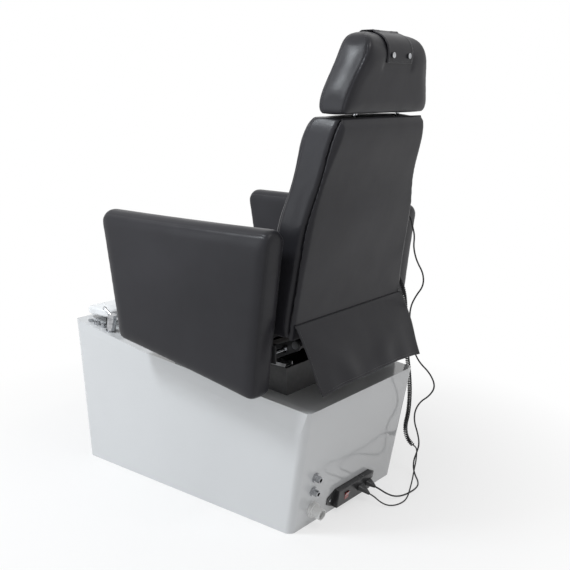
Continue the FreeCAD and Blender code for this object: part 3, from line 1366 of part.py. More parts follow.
def make_arm_pivots():
    """Chrome rods with collars, from the hinge plates to the armrests."""
    x0 = FRAME_HALF_WIDTH + HINGE_PLATE
    start = Vector(x0, ARM_PIVOT_Y, ARM_PIVOT_Z)
    long = rod(start, AXIS_X, ARM_PIVOT_R, ARM_INNER_X + ARM_BOSS_LENGTH - ARM_BRACKET - 3.0 - x0)
    collar = rod(start, AXIS_X, ARM_PIVOT_R + 4.0, 8.0)
    return both_sides(long.fuse(collar).removeSplitter())


PANEL_FACE_X = PANEL_PROUD - ARM_INNER_X
KEY_WELL = 6.0


def key_spots():
    pitch = PANEL_LENGTH / KEY_COUNT
    return [PANEL_Y + pitch * (i - (KEY_COUNT - 1) / 2.0) for i in range(KEY_COUNT)]


def make_control_panel():
    """Keypad case on the right armrest's inner face."""
    case = box(-ARM_INNER_X, PANEL_FACE_X, PANEL_Y - PANEL_LENGTH / 2.0,
               PANEL_Y + PANEL_LENGTH / 2.0, PANEL_Z - PANEL_HEIGHT / 2.0,
               PANEL_Z + PANEL_HEIGHT / 2.0)
    case = case.makeFillet(2.0, [e for e in case.Edges if e.BoundBox.XMin > PANEL_FACE_X - 1])
    for y in key_spots():
        case = case.cut(rod(Vector(PANEL_FACE_X - KEY_WELL, y, PANEL_Z), AXIS_X,
                            KEY_OD / 2.0 + FIT_GAP, KEY_WELL + 4.0))
    return case


def make_key(y):
    start = Vector(PANEL_FACE_X - KEY_WELL + KEY_TRAVEL + 0.4, y, PANEL_Z)
    return rod(start, AXIS_X, KEY_OD / 2.0, KEY_LENGTH)


# Cord routes, chosen by hand. One cord powers the backrest's motors, the curly one the keypad.

BACK_PLUG = (SOCKET_X[1], 28.0, 4.0)
KEY_PLUG = (SOCKET_X[0], 36.0, 8.0)
BACK_GLAND = Vector(-276.5, 510.0, 925.0)
ARM_GLAND = Vector(-309.5, 441.0, 745.0)
CURL_START = (-302.0, 571.5, 98.0)

BACK_CORD_MIDDLE = [
    (-104.0, 574.0, 20.0), (-122.0, 594.0, 8.0), (-152.0, 608.0, 3.2), (-194.0, 616.0, 3.2),
    (-244.0, 614.0, 3.6), (-282.0, 592.0, 3.2), (-308.0, 566.0, 5.0), (-320.0, 550.0, 22.0),
    (-322.0, 549.0, 54.0), (-322.0, 560.0, 86.0), (-319.0, 571.0, 122.0), (-310.0, 568.0, 164.0),
    (-302.0, 557.0, 206.0), (-302.0, 558.0, 246.0), (-302.0, 578.0, 284.0), (-302.0, 612.0, 312.0),
    (-302.0, 634.0, 350.0), (-302.0, 612.0, 392.0), (-302.0, 566.0, 424.0), (-302.0, 543.0, 466.0),
    (-302.0, 533.0, 516.0), (-302.0, 525.0, 566.0), (-302.0, 528.0, 612.0), (-302.0, 548.0, 652.0),
    (-302.0, 574.0, 688.0), (-302.0, 572.0, 730.0), (-302.0, 545.0, 768.0), (-302.0, 531.0, 812.0),
    (-304.0, 533.0, 852.0), (-308.0, 522.0, 880.0), (-308.2, 514.1, 906.9),
    (-301.7, 511.4, 918.4), (-290.0, 510.0, 925.0), tuple(BACK_GLAND)]

KEY_LEAD_MIDDLE = [
    (-51.0, 584.0, 14.0), (-58.0, 608.0, 5.5), (-80.0, 626.0, 2.8), (-116.0, 634.0, 2.8),
    (-152.0, 628.0, 4.0), (-186.0, 616.0, 14.0), (-222.0, 604.0, 34.0), (-260.0, 588.0, 54.0),
    (-286.0, 580.0, 78.0)]

CURL_POINTS = [
    CURL_START, (-309.0, 567.8, 106.75), (-312.0, 556.0, 113.0), (-312.0, 536.0, 122.0),
    (-311.0, 520.0, 146.0), (-310.0, 517.0, 182.0), (-310.0, 527.0, 224.0), (-310.0, 531.0, 274.0),
    (-309.0, 531.0, 330.0), (-308.0, 525.0, 388.0), (-305.0, 518.0, 440.0), (-303.0, 514.0, 494.0),
    (-302.0, 511.5, 548.0), (-302.0, 508.0, 600.0), (-302.0, 503.0, 650.0), (-302.0, 488.0, 692.0),
    (-297.5, 471.0, 714.5), (-294.0, 457.6, 733.1), (-293.8, 446.3, 741.2), (-300.3, 441.0, 745.0),
    tuple(ARM_GLAND)]


def make_cord_plugs():
    return Part.makeCompound([make_plug(*BACK_PLUG), make_plug(*KEY_PLUG)])


def make_back_cord():
    """Straight lead from its plug along the floor and up to the backrest."""
    points = [tuple(plug_exit(*BACK_PLUG)), tuple(plug_exit(*BACK_PLUG, run=PLUG_RUN))]
    return tube("back_cord", points + BACK_CORD_MIDDLE, CORD_OD / 2.0)


def make_key_lead():
    """Straight lead from its plug to the curly cord."""
    points = [tuple(plug_exit(*KEY_PLUG)), tuple(plug_exit(*KEY_PLUG, run=PLUG_RUN))]
    return tube("key_lead", points + KEY_LEAD_MIDDLE + [CURL_START], CURL_WIRE / 2.0)


def make_curly_cord():
    return curly_tube("curly_cord", CURL_POINTS, CURL_WIRE, CURL_RADIUS, CURL_COUNT,
                      CURL_LOWER_LEAD, CURL_UPPER_LEAD)


def make_back_gland():
    """Flat grommet on the backrest's right side."""
    reach = back_half_width(BACK_GLAND.z) - 4.0
    grommet = rod(Vector(-reach, BACK_GLAND.y, BACK_GLAND.z), AXIS_X * -1.0, 9.0,
                  -BACK_GLAND.x - reach)
    return grommet.cut(make_backrest_cushion())


def make_arm_gland():
    """Flat grommet on the right armrest's inner face."""
    return rod(ARM_GLAND, AXIS_X * -1.0, 8.0, ARM_GLAND.x + ARM_INNER_X)


def export(name, shape):
    broken = [s for s in shape.Solids if not s.isValid() or s.Volume <= 0]
    if broken or not shape.Solids:
        print("invalid solid in", name)
    shape.exportStep(os.path.join(OUT, name + ".step"))


def main():
    os.makedirs("parts", exist_ok=True)
    export("base_shell", make_base_shell())
    export("base_plate", make_base_plate())
    export("support_frame", make_support_frame())
    export("foot_basin", make_foot_basin())
    export("basin_drain", make_basin_drain())
    export("drain_stopper", make_drain_stopper())
    export("drain_pipe", make_drain_pipe())
    export("drain_outlet", make_drain_outlet())
    export("water_inlets", make_water_inlets())
    export("supply_hoses", make_supply_hoses())
    export("jet_housing", make_jet_housing())
    export("jet_cover", make_jet_cover())
    export("jet_impeller", make_jet_impeller())
    export("jet_button", make_jet_button())
    export("drain_knob", rim_knob(DRAIN_KNOB_Y, KNOB_OD, KNOB_HEIGHT))
    export("jet_air_knob", rim_knob(AIR_KNOB_Y, AIR_KNOB_OD, AIR_KNOB_HEIGHT))
    export("faucet_body", make_faucet_body())
    export("faucet_lever", make_faucet_lever())
    export("footrest", make_footrest())
    export("footrest_hinges", make_footrest_hinges())
    export("footrest_stops", make_footrest_stops())
    export("power_box", make_power_box())
    export("power_screws", make_power_screws())
    export("power_rocker", make_power_rocker())
    export("power_sockets", make_power_sockets())
    export("cord_plugs", make_cord_plugs())
    export("back_cord", make_back_cord())
    export("key_lead", make_key_lead())
    export("curly_cord", make_curly_cord())
    export("plinth", make_plinth())
    export("slide_rails", make_slide_rails())
    export("seat_frame", make_seat_frame())
    export("recline_pins", make_recline_pins())
    export("seat_board", make_seat_board())
    export("seat_cushion", make_seat_cushion())
    export("slide_lever", make_slide_lever())
    export("actuator_body", make_actuator_body())
    export("actuator_rod", make_actuator_rod())
    export("backrest_frame", make_backrest_frame())
    export("backrest_board", make_backrest_board())
    export("backrest_cushion", make_backrest_cushion())
    export("backrest_rear_panel", make_backrest_rear_panel())
    export("massage_motors", make_massage_motors())
    export("rear_flap", make_rear_flap())
    export("back_gland", make_back_gland())
    export("headrest_posts", make_headrest_posts())
    export("headrest_pad", make_headrest_pad())
    export("headrest_strap", make_headrest_strap())
    export("strap_studs", make_strap_studs())
    export("arm_pivots", make_arm_pivots())
    for name, side in (("left", 1), ("right", -1)):
        export("arm_pad_" + name, make_arm_pad(side))
        export("arm_bracket_" + name, make_arm_bracket(side))
    export("control_panel", make_control_panel())
    for number, y in enumerate(key_spots(), 1):
        export("key_%d" % number, make_key(y))
    export("arm_gland", make_arm_gland())


main()
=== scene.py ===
"""Looks of a pedicure spa chair, built round its fixed frame. All lengths are in metres, x runs
to the sitter's left, y to the rear and z up."""

import json
import math

import bpy
import numpy as np
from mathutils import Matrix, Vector, noise
from mathutils.bvhtree import BVHTree
from mathutils.kdtree import KDTree


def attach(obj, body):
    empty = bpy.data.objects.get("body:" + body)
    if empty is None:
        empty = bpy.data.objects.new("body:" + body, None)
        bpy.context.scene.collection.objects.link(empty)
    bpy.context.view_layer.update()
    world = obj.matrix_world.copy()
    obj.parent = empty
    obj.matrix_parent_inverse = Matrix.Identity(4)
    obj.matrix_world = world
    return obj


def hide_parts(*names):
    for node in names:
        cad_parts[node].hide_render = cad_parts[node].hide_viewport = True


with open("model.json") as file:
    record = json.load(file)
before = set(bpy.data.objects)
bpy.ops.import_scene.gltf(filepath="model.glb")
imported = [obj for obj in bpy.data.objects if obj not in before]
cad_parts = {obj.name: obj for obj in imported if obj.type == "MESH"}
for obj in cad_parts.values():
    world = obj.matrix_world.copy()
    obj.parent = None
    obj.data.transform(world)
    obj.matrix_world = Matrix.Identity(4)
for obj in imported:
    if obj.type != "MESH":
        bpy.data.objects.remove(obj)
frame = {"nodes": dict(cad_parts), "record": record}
NODES = frame["nodes"]
SCENE = bpy.context.scene
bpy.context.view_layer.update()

# Camera

YAW, PITCH = 0.6804, 0.22348
FOCAL_LENGTH_MM, SENSOR_WIDTH_MM = 54.19, 36.0
eye = bpy.data.cameras.new("camera")
eye.lens = FOCAL_LENGTH_MM
eye.sensor_width = SENSOR_WIDTH_MM
camera = bpy.data.objects.new("camera", eye)
camera.location = (2.1372, 1.9588, 1.32)
view_way = Vector((-math.cos(YAW) * math.cos(PITCH), -math.sin(YAW) * math.cos(PITCH),
                   -math.sin(PITCH)))
camera.rotation_euler = view_way.to_track_quat("-Z", "Y").to_euler()
SCENE.collection.objects.link(camera)
SCENE.camera = camera
SCENE.view_settings.view_transform = "Standard"


# Materials

MIX_SHARE, MIX_FIRST, MIX_SECOND, MIX_RESULT = 0, 6, 7, 2


def new_material(name):
    """A material with a Principled shader, and the object's own coordinates for its textures."""
    material = bpy.data.materials.new(name)
    material.use_nodes = True
    tree = material.node_tree
    tree.nodes.clear()
    shader = tree.nodes.new("ShaderNodeBsdfPrincipled")
    output = tree.nodes.new("ShaderNodeOutputMaterial")
    tree.links.new(shader.outputs["BSDF"], output.inputs["Surface"])
    spot = tree.nodes.new("ShaderNodeTexCoord").outputs["Object"]
    return material, tree, shader, spot


def stretched(tree, spot, scale):
    node = tree.nodes.new("ShaderNodeMapping")
    node.inputs["Scale"].default_value = scale
    tree.links.new(spot, node.inputs["Vector"])
    return node.outputs["Vector"]


def cloud(tree, spot, scale, detail=3.0, warp=0.0):
    node = tree.nodes.new("ShaderNodeTexNoise")
    node.inputs["Scale"].default_value = scale
    node.inputs["Detail"].default_value = detail
    node.inputs["Distortion"].default_value = warp
    tree.links.new(spot, node.inputs["Vector"])
    return node.outputs["Fac"]


def cells(tree, spot, scale):
    node = tree.nodes.new("ShaderNodeTexVoronoi")
    node.feature = "SMOOTH_F1"
    node.inputs["Scale"].default_value = scale
    tree.links.new(spot, node.inputs["Vector"])
    return node.outputs["Distance"]


def ramp(tree, value, *stops):
    node = tree.nodes.new("ShaderNodeValToRGB")
    band = node.color_ramp
    while len(band.elements) < len(stops):
        band.elements.new(0.5)
    for element, (place, colour) in zip(band.elements, stops):
        element.position = place
        element.color = (*colour, 1.0)
    tree.links.new(value, node.inputs["Fac"])
    return node.outputs["Color"]


def spread(tree, value, low, high, start=0.3, end=0.7):
    """The value's range from start to end, moved to the range from low to high."""
    node = tree.nodes.new("ShaderNodeMapRange")
    for key, number in (("From Min", start), ("From Max", end), ("To Min", low),
                        ("To Max", high)):
        node.inputs[key].default_value = number
    tree.links.new(value, node.inputs["Value"])
    return node.outputs["Result"]


def mixed(tree, share, first, second):
    node = tree.nodes.new("ShaderNodeMix")
    node.data_type = "RGBA"
    tree.links.new(share, node.inputs[MIX_SHARE])
    tree.links.new(first, node.inputs[MIX_FIRST])
    tree.links.new(second, node.inputs[MIX_SECOND])
    return node.outputs[MIX_RESULT]


def bumped(tree, height, distance, strength, below=None):
    node = tree.nodes.new("ShaderNodeBump")
    node.inputs["Strength"].default_value = strength
    node.inputs["Distance"].default_value = distance
    tree.links.new(height, node.inputs["Height"])
    if below is not None:
        tree.links.new(below, node.inputs["Normal"])
    return node.outputs["Normal"]


def finish(name, dark, light, rough, metal=0.0, coat=0.0, coat_rough=0.1, sheen=0.0,
           broad=5.0, grain=(400.0, 0.0001, 0.3), waves=(20.0, 0.0005, 0.1), wear_and_highlight=None,
           stretch=None, cellular=False, specular=0.5):
    """A surface that varies between two colours and two roughnesses, with waves and grain."""
    material, tree, shader, spot = new_material(name)
    drawn = stretched(tree, spot, stretch) if stretch else spot
    patches = cloud(tree, spot, broad, 4.0)
    colour = ramp(tree, patches, (0.32, dark), (0.70, light))
    # Convex edges, found by pointiness, are mixed in patches towards a lighter edge colour: partly
    # rubbed wear, partly a painted highlight.
    if wear_and_highlight:
        edges = tree.nodes.new("ShaderNodeNewGeometry").outputs["Pointiness"]
        edge_patches = cloud(tree, spot, broad * 9.0, 5.0)
        share = spread(tree, edges, 0.0, 0.55, 0.52, 0.62)
        colour = mixed(tree, share, colour, ramp(tree, edge_patches, (0.35, light), (0.65, wear_and_highlight)))
    tree.links.new(colour, shader.inputs["Base Color"])
    smears = cloud(tree, drawn, broad * 3.0, 5.0, 0.6)
    tree.links.new(spread(tree, smears, *rough), shader.inputs["Roughness"])
    normal = bumped(tree, cloud(tree, spot, waves[0], 3.0, 0.3), waves[1], waves[2])
    fine = cells(tree, drawn, grain[0]) if cellular else cloud(tree, drawn, grain[0], 2.0)
    tree.links.new(bumped(tree, fine, grain[1], grain[2], normal), shader.inputs["Normal"])
    shader.inputs["Metallic"].default_value = metal
    shader.inputs["Specular IOR Level"].default_value = specular
    shader.inputs["Coat Weight"].default_value = coat
    shader.inputs["Coat Roughness"].default_value = coat_rough
    shader.inputs["Sheen Weight"].default_value = sheen
    shader.inputs["Sheen Roughness"].default_value = 0.45
    return material


def plywood():
    material, tree, shader, spot = new_material("stained_plywood")
    grain = cloud(tree, stretched(tree, spot, (60.0, 4.0, 60.0)), 2.0, 8.0, 1.2)
    face = ramp(tree, grain, (0.25, (0.012, 0.010, 0.009)), (0.5, (0.024, 0.020, 0.017)),
                (0.75, (0.045, 0.036, 0.028)))
    tree.links.new(face, shader.inputs["Base Color"])
    tree.links.new(spread(tree, grain, 0.5, 0.72), shader.inputs["Roughness"])
    tree.links.new(bumped(tree, grain, 0.0004, 0.4), shader.inputs["Normal"])
    return material


# The edge colours given below are lighter than their materials: partly rubbed wear, partly a painted
# highlight on convex edges.
WHITE_A, WHITE_B = (0.625, 0.632, 0.64), (0.655, 0.662, 0.67)
MATERIALS = {
    "shell": finish("white_gelcoat", WHITE_A, WHITE_B, (0.11, 0.17), coat=0.4, coat_rough=0.05,
                    broad=1.6, grain=(260.0, 0.00003, 0.10), waves=(5.0, 0.0010, 0.06)),
    "basin": finish("white_tub", (0.76, 0.78, 0.79), (0.84, 0.85, 0.86), (0.08, 0.16), coat=0.8,
                    coat_rough=0.04, broad=4.0, grain=(240.0, 0.00004, 0.1)),
    "plywood": plywood(),
    "steel": finish("zinc_steel", (0.20, 0.205, 0.21), (0.36, 0.365, 0.375), (0.28, 0.45), metal=1.0,
                    broad=24.0, grain=(120.0, 0.0001, 0.25), stretch=(1.0, 14.0, 1.0)),
    "black_steel": finish("black_powder_coat", (0.014, 0.014, 0.015), (0.026, 0.026, 0.028),
                          (0.36, 0.48), broad=7.0, grain=(900.0, 0.00005, 0.3), cellular=True,
                          wear_and_highlight=(0.045, 0.045, 0.046)),
    "chrome": finish("chrome", (0.30, 0.305, 0.32), (0.56, 0.57, 0.585), (0.07, 0.16), metal=1.0,
                     broad=70.0, grain=(500.0, 0.00002, 0.08), waves=(60.0, 0.0001, 0.05)),
    "white_plastic": finish("white_moulding", (0.70, 0.70, 0.69), (0.80, 0.80, 0.79), (0.32, 0.46),
                            broad=14.0, grain=(700.0, 0.00006, 0.25), wear_and_highlight=(0.86, 0.86, 0.85)),
    "hose": finish("braided_hose", (0.30, 0.31, 0.32), (0.58, 0.59, 0.61), (0.25, 0.42), metal=0.8,
                   broad=60.0, grain=(650.0, 0.0004, 0.8), cellular=True),
    "footrest": finish("white_footplate", (0.75, 0.76, 0.77), (0.84, 0.85, 0.86), (0.14, 0.24),
                       coat=0.5, coat_rough=0.08, broad=5.0, grain=(320.0, 0.00006, 0.15),
                       wear_and_highlight=(0.88, 0.88, 0.89)),
    "rubber": finish("black_rubber", (0.016, 0.016, 0.016), (0.030, 0.030, 0.030), (0.65, 0.85),
                     broad=40.0, grain=(800.0, 0.0001, 0.4), specular=0.3),
    "black_plastic": finish("black_moulding", (0.014, 0.014, 0.015), (0.026, 0.026, 0.028),
                            (0.26, 0.38), broad=9.0, grain=(1100.0, 0.00004, 0.25), cellular=True,
                            wear_and_highlight=(0.05, 0.05, 0.052)),
    "red_plastic": finish("red_rocker", (0.24, 0.010, 0.009), (0.36, 0.020, 0.016), (0.16, 0.28),
                          coat=0.5, coat_rough=0.06, broad=80.0, grain=(900.0, 0.00003, 0.15)),
    "cord": finish("black_cord", (0.010, 0.010, 0.011), (0.020, 0.020, 0.022), (0.40, 0.58),
                   broad=50.0, grain=(1600.0, 0.00006, 0.4), specular=0.4),
    "upholstery": finish("charcoal_leatherette", (0.0180, 0.0176, 0.0210),
                         (0.0270, 0.0264, 0.0310), (0.30, 0.40), sheen=0.02, broad=3.2,
                         grain=(620.0, 0.00016, 0.30), waves=(15.0, 0.0030, 0.16),
                         wear_and_highlight=(0.045, 0.045, 0.052), cellular=True, specular=0.20),
    "keys": finish("grey_keys", (0.20, 0.21, 0.22), (0.32, 0.33, 0.35), (0.40, 0.52), broad=90.0,
                   grain=(1200.0, 0.00005, 0.3))}
THREAD = finish("black_thread", (0.018, 0.018, 0.020), (0.050, 0.050, 0.055), (0.45, 0.65),
                sheen=0.3, broad=120.0, grain=(2600.0, 0.0002, 0.6), stretch=(1.0, 3.0, 1.0))

for entry in frame["record"]["subparts"]:
    for held in NODES[entry["node"]].material_slots:
        held.material = MATERIALS[entry["material_slot"]]


# Pieces

def place(obj, body, slot, *nodes):
    """Puts a new piece on its body, with its finish and the solids that it stands for."""
    if obj.name not in SCENE.collection.objects:
        SCENE.collection.objects.link(obj)
    obj.data.materials.clear()
    obj.data.materials.append(MATERIALS[slot])
    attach(obj, body)
    if nodes:
        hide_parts(*nodes)
    return obj


def from_lists(name, points, faces):
    """A new object with a smooth mesh."""
    mesh = bpy.data.meshes.new(name)
    mesh.from_pydata([tuple(p) for p in points], [], faces)
    mesh.update()
    mesh.shade_smooth()
    return bpy.data.objects.new(name, mesh)


def read(mesh, key="co"):
    """The mesh's points, or another vector that each of them has, one row a point."""
    flat = np.empty(len(mesh.vertices) * 3, np.float32)
    mesh.vertices.foreach_get(key, flat)
    return flat.reshape(-1, 3).astype(float)


def write(mesh, points):
    mesh.vertices.foreach_set("co", points.astype(np.float32).ravel())
    mesh.update()


def bake(obj):
    """Makes the modifiers' result the object's own mesh."""
    graph = bpy.context.evaluated_depsgraph_get()
    mesh = bpy.data.meshes.new_from_object(obj.evaluated_get(graph), depsgraph=graph)
    obj.modifiers.clear()
    obj.data = mesh


def skin_of(mesh):
    return BVHTree.FromPolygons([v.co for v in mesh.vertices],
                                [tuple(p.vertices) for p in mesh.polygons])


# Cords, as the control points of their splines

BACK_CORD = (
    (-0.290, 0.510, 0.925), (-0.3017, 0.5114, 0.9184), (-0.3082, 0.5141, 0.9069),
    (-0.308, 0.522, 0.880), (-0.304, 0.533, 0.852), (-0.302, 0.531, 0.812),
    (-0.302, 0.545, 0.768), (-0.302, 0.572, 0.730), (-0.302, 0.574, 0.688),
    (-0.302, 0.548, 0.652), (-0.302, 0.528, 0.612), (-0.302, 0.525, 0.566),
    (-0.302, 0.533, 0.516), (-0.302, 0.543, 0.466), (-0.302, 0.566, 0.424),
    (-0.302, 0.612, 0.392), (-0.302, 0.634, 0.350), (-0.302, 0.612, 0.312),
    (-0.302, 0.578, 0.284), (-0.302, 0.558, 0.246), (-0.302, 0.557, 0.206),
    (-0.310, 0.568, 0.164), (-0.319, 0.571, 0.122), (-0.322, 0.560, 0.086),
    (-0.322, 0.549, 0.054), (-0.320, 0.550, 0.022), (-0.308, 0.566, 0.005),
    (-0.282, 0.592, 0.0032), (-0.244, 0.614, 0.0036), (-0.194, 0.616, 0.0032),
    (-0.152, 0.608, 0.0032), (-0.122, 0.594, 0.008), (-0.104, 0.574, 0.020),
    (-0.098, 0.5527, 0.0310), (-0.098, 0.5350, 0.0342))
BACK_EXIT = (-0.2765, 0.510, 0.925)
CURL_START = (-0.302, 0.5715, 0.098)
KEY_LEAD = (
    CURL_START, (-0.286, 0.580, 0.078), (-0.260, 0.588, 0.054), (-0.222, 0.604, 0.034),
    (-0.186, 0.616, 0.014), (-0.152, 0.628, 0.004), (-0.116, 0.634, 0.0028),
    (-0.080, 0.626, 0.0028), (-0.058, 0.608, 0.0055), (-0.051, 0.584, 0.014),
    (-0.052, 0.5599, 0.0257), (-0.052, 0.5422, 0.0289))
ARM_EXIT = (-0.3095, 0.441, 0.745)
CURL_ROUTE = (
    ARM_EXIT, (-0.3003, 0.441, 0.745), (-0.2938, 0.4463, 0.7412), (-0.294, 0.4576, 0.7331),
    (-0.2975, 0.471, 0.7145), (-0.302, 0.488, 0.692), (-0.302, 0.503, 0.650), (-0.302, 0.508, 0.600),
    (-0.302, 0.5115, 0.548), (-0.303, 0.514, 0.494), (-0.305, 0.518, 0.440),
    (-0.308, 0.525, 0.388), (-0.309, 0.531, 0.330), (-0.310, 0.531, 0.274),
    (-0.310, 0.527, 0.224), (-0.310, 0.517, 0.182), (-0.311, 0.520, 0.146),
    (-0.312, 0.536, 0.122), (-0.312, 0.556, 0.113), (-0.309, 0.5678, 0.10675), CURL_START)
CORD_RADIUS, CURL_WIRE_RADIUS = 0.0027, 0.0023
CURL_RADIUS, CURL_COUNT, CURL_EASE = 0.0057, 100, 0.012
ARM_LEAD, LOWER_LEAD = 0.032, 0.024
TURN_POINTS = 12
TANGENT_STEP = 0.0015


def spline(name, points, radius=0.0, smoothness=12):
    """A round cord on a NURBS spline, or its bare line where the radius is 0."""
    data = bpy.data.curves.new(name, "CURVE")
    data.dimensions = "3D"
    data.resolution_u = smoothness
    line = data.splines.new("NURBS")
    line.points.add(len(points) - 1)
    for target, point in zip(line.points, points):
        target.co = (*point, 1.0)
    line.order_u = 3
    line.use_endpoint_u = True
    data.bevel_depth = radius
    data.bevel_resolution = 3
    data.use_fill_caps = True
    obj = bpy.data.objects.new(name, data)
    SCENE.collection.objects.link(obj)
    return obj


def curl_points():
    """The leads and the helix along the curly cord's route."""
    guide = spline("guide", CURL_ROUTE, smoothness=32)
    graph = bpy.context.evaluated_depsgraph_get()
    line = read(bpy.data.meshes.new_from_object(guide.evaluated_get(graph), depsgraph=graph))
    bpy.data.objects.remove(guide)
    steps = np.linalg.norm(np.diff(line, axis=0), axis=1)
    marks = np.concatenate(([0.0], np.cumsum(steps)))

    def at(distance):
        return Vector([np.interp(distance, marks, line[:, i]) for i in range(3)])

    length = marks[-1]
    first, last = ARM_LEAD, length - LOWER_LEAD
    pitch = (last - first - CURL_EASE) / CURL_COUNT
    swell = CURL_RADIUS / math.cos(math.pi / TURN_POINTS) ** 0.75
    points = [CURL_ROUTE[0], *[at(share * ARM_LEAD) for share in (0.25, 0.5, 0.75)]]
    total = CURL_COUNT * TURN_POINTS
    for i in range(total + 1):
        distance = first + (last - first) * i / total
        ease = min((distance - first) / CURL_EASE, (last - distance) / CURL_EASE, 1.0)
        turned = (distance - first - CURL_EASE / 2.0) / pitch
        if ease < 1.0:
            part = CURL_EASE / pitch * ease ** 3 * (1.0 - ease / 2.0)
            turned = part if 2.0 * distance < first + last else CURL_COUNT - part
        tangent = (at(distance + TANGENT_STEP) - at(distance - TANGENT_STEP)).normalized()
        side = (Vector((1, 0, 0)) - tangent * tangent.x).normalized()
        up = tangent.cross(side)
        size = swell * ease * ease * (3.0 - 2.0 * ease)
        angle = 2.0 * math.pi * turned
        points.append(at(distance) + side * (size * math.cos(angle)) + up * (size * math.sin(angle)))
    points += [at(length - share * LOWER_LEAD) for share in (0.7, 0.4)] + [Vector(CURL_START)]
    return points


back_cord = place(spline("back_lead", (BACK_EXIT, *BACK_CORD), CORD_RADIUS), "base", "cord",
                  "back_cord")
curly = place(spline("curly_lead", curl_points(), CURL_WIRE_RADIUS, 3), "base", "cord",
              "curly_cord")
key_lead = place(spline("keypad_lead", KEY_LEAD, CURL_WIRE_RADIUS), "base", "cord", "key_lead")


# Padded pieces

CLOTH_FRAMES, CLOTH_PRESSURE = 20, 4.0
CLOTH_SINK, LEAST_REACH = 0.0008, 0.0005
EVENING_ROUNDS = 14
SEAM_STEP, PUCKER_PITCH = 0.002, 0.013
SHORTEST_LINE = 12


def evened(points, edges, share, rounds):
    """Points moved a share of the way to the middle of their neighbours."""
    count = np.bincount(edges.ravel(), minlength=len(points))[:, None]
    for _ in range(rounds):
        total = np.zeros_like(points)
        np.add.at(total, edges[:, 0], points[edges[:, 1]])
        np.add.at(total, edges[:, 1], points[edges[:, 0]])
        points = points + share * (total / count - points)
    return points


def smooth(values, low, high):
    """0 below low, 1 above high, and an even rise between them."""
    share = np.clip((values - low) / (high - low), 0.0, 1.0)
    return share * share * (3.0 - 2.0 * share)


def edges_of(mesh):
    """The two points of each edge."""
    flat = np.empty(len(mesh.edges) * 2, np.int32)
    mesh.edges.foreach_get("vertices", flat)
    return flat.reshape(-1, 2)


def kept_near(points, skin, proud):
    """Points that stand further out of a skin than they may are brought back to it."""
    result = points.copy()
    for i, point in enumerate(points):
        spot, normal, _, distance = skin.find_nearest(Vector(point))
        away = Vector(point) - spot
        if distance > proud[i] and away.dot(normal) > 0.0:
            result[i] = spot + away * (proud[i] / distance)
    return result


def swollen(pad):
    """The pad's points after its cover has been blown up a little as cloth."""
    cloth = pad.modifiers.new("cloth", "CLOTH")
    cloth.settings.quality = 4
    cloth.settings.use_pressure = True
    cloth.settings.uniform_pressure_force = CLOTH_PRESSURE
    cloth.settings.effector_weights.gravity = 0.0
    cloth.settings.tension_stiffness = 12.0
    cloth.settings.bending_stiffness = 0.8
    cloth.collision_settings.use_collision = False
    for number in range(1, CLOTH_FRAMES + 1):
        SCENE.frame_set(number)
    graph = bpy.context.evaluated_depsgraph_get()
    mesh = bpy.data.meshes.new_from_object(pad.evaluated_get(graph), depsgraph=graph)
    pad.modifiers.clear()
    SCENE.frame_set(1)
    return read(mesh)


def soft_pad(name, node, voxel, shrink, cap, proud, dent=0.0009):
    """A stuffed piece grown from the node's skin. It starts smaller by shrink, and the cloth moves
    it out by no more than cap. proud(points, normals) gives how far each point may stand out of
    that skin. A cap of 0 leaves the cloth out."""
    skin = skin_of(NODES[node].data)
    pad = bpy.data.objects.new(name, NODES[node].data.copy())
    SCENE.collection.objects.link(pad)
    remesh = pad.modifiers.new("remesh", "REMESH")
    remesh.mode = "VOXEL"
    remesh.voxel_size = voxel
    bake(pad)
    points = np.array([skin.find_nearest(v.co)[0] for v in pad.data.vertices])
    write(pad.data, points)
    normals = read(pad.data, "normal")
    edges = edges_of(pad.data)
    room = proud(points, normals)
    start = evened(points - normals * shrink, edges, 0.5, 2)
    if cap:
        write(pad.data, start)
        moved = ((swollen(pad) - start) * normals).sum(axis=1)
        moved = np.clip(moved, -CLOTH_SINK, cap)
        reach = np.maximum(shrink + room, LEAST_REACH)
        moved = np.where(moved > 0.0, reach * np.tanh(moved / reach), moved)
        start = start + normals * evened(moved[:, None], edges, 0.5, EVENING_ROUNDS)
    else:
        start = start + normals * (shrink + room[:, None] * 0.8)
    start = evened(kept_near(start, skin, room), edges, 0.4, 2)
    write(pad.data, start)
    pad.modifiers.new("finer", "SUBSURF").levels = 1
    bake(pad)
    points, normals = read(pad.data), read(pad.data, "normal")
    hollow = np.array([0.5 + 0.5 * noise.noise(Vector(p) * 9.0) for p in points])
    write(pad.data, points - normals * (hollow * dent)[:, None])
    pad.data.shade_smooth()
    return pad


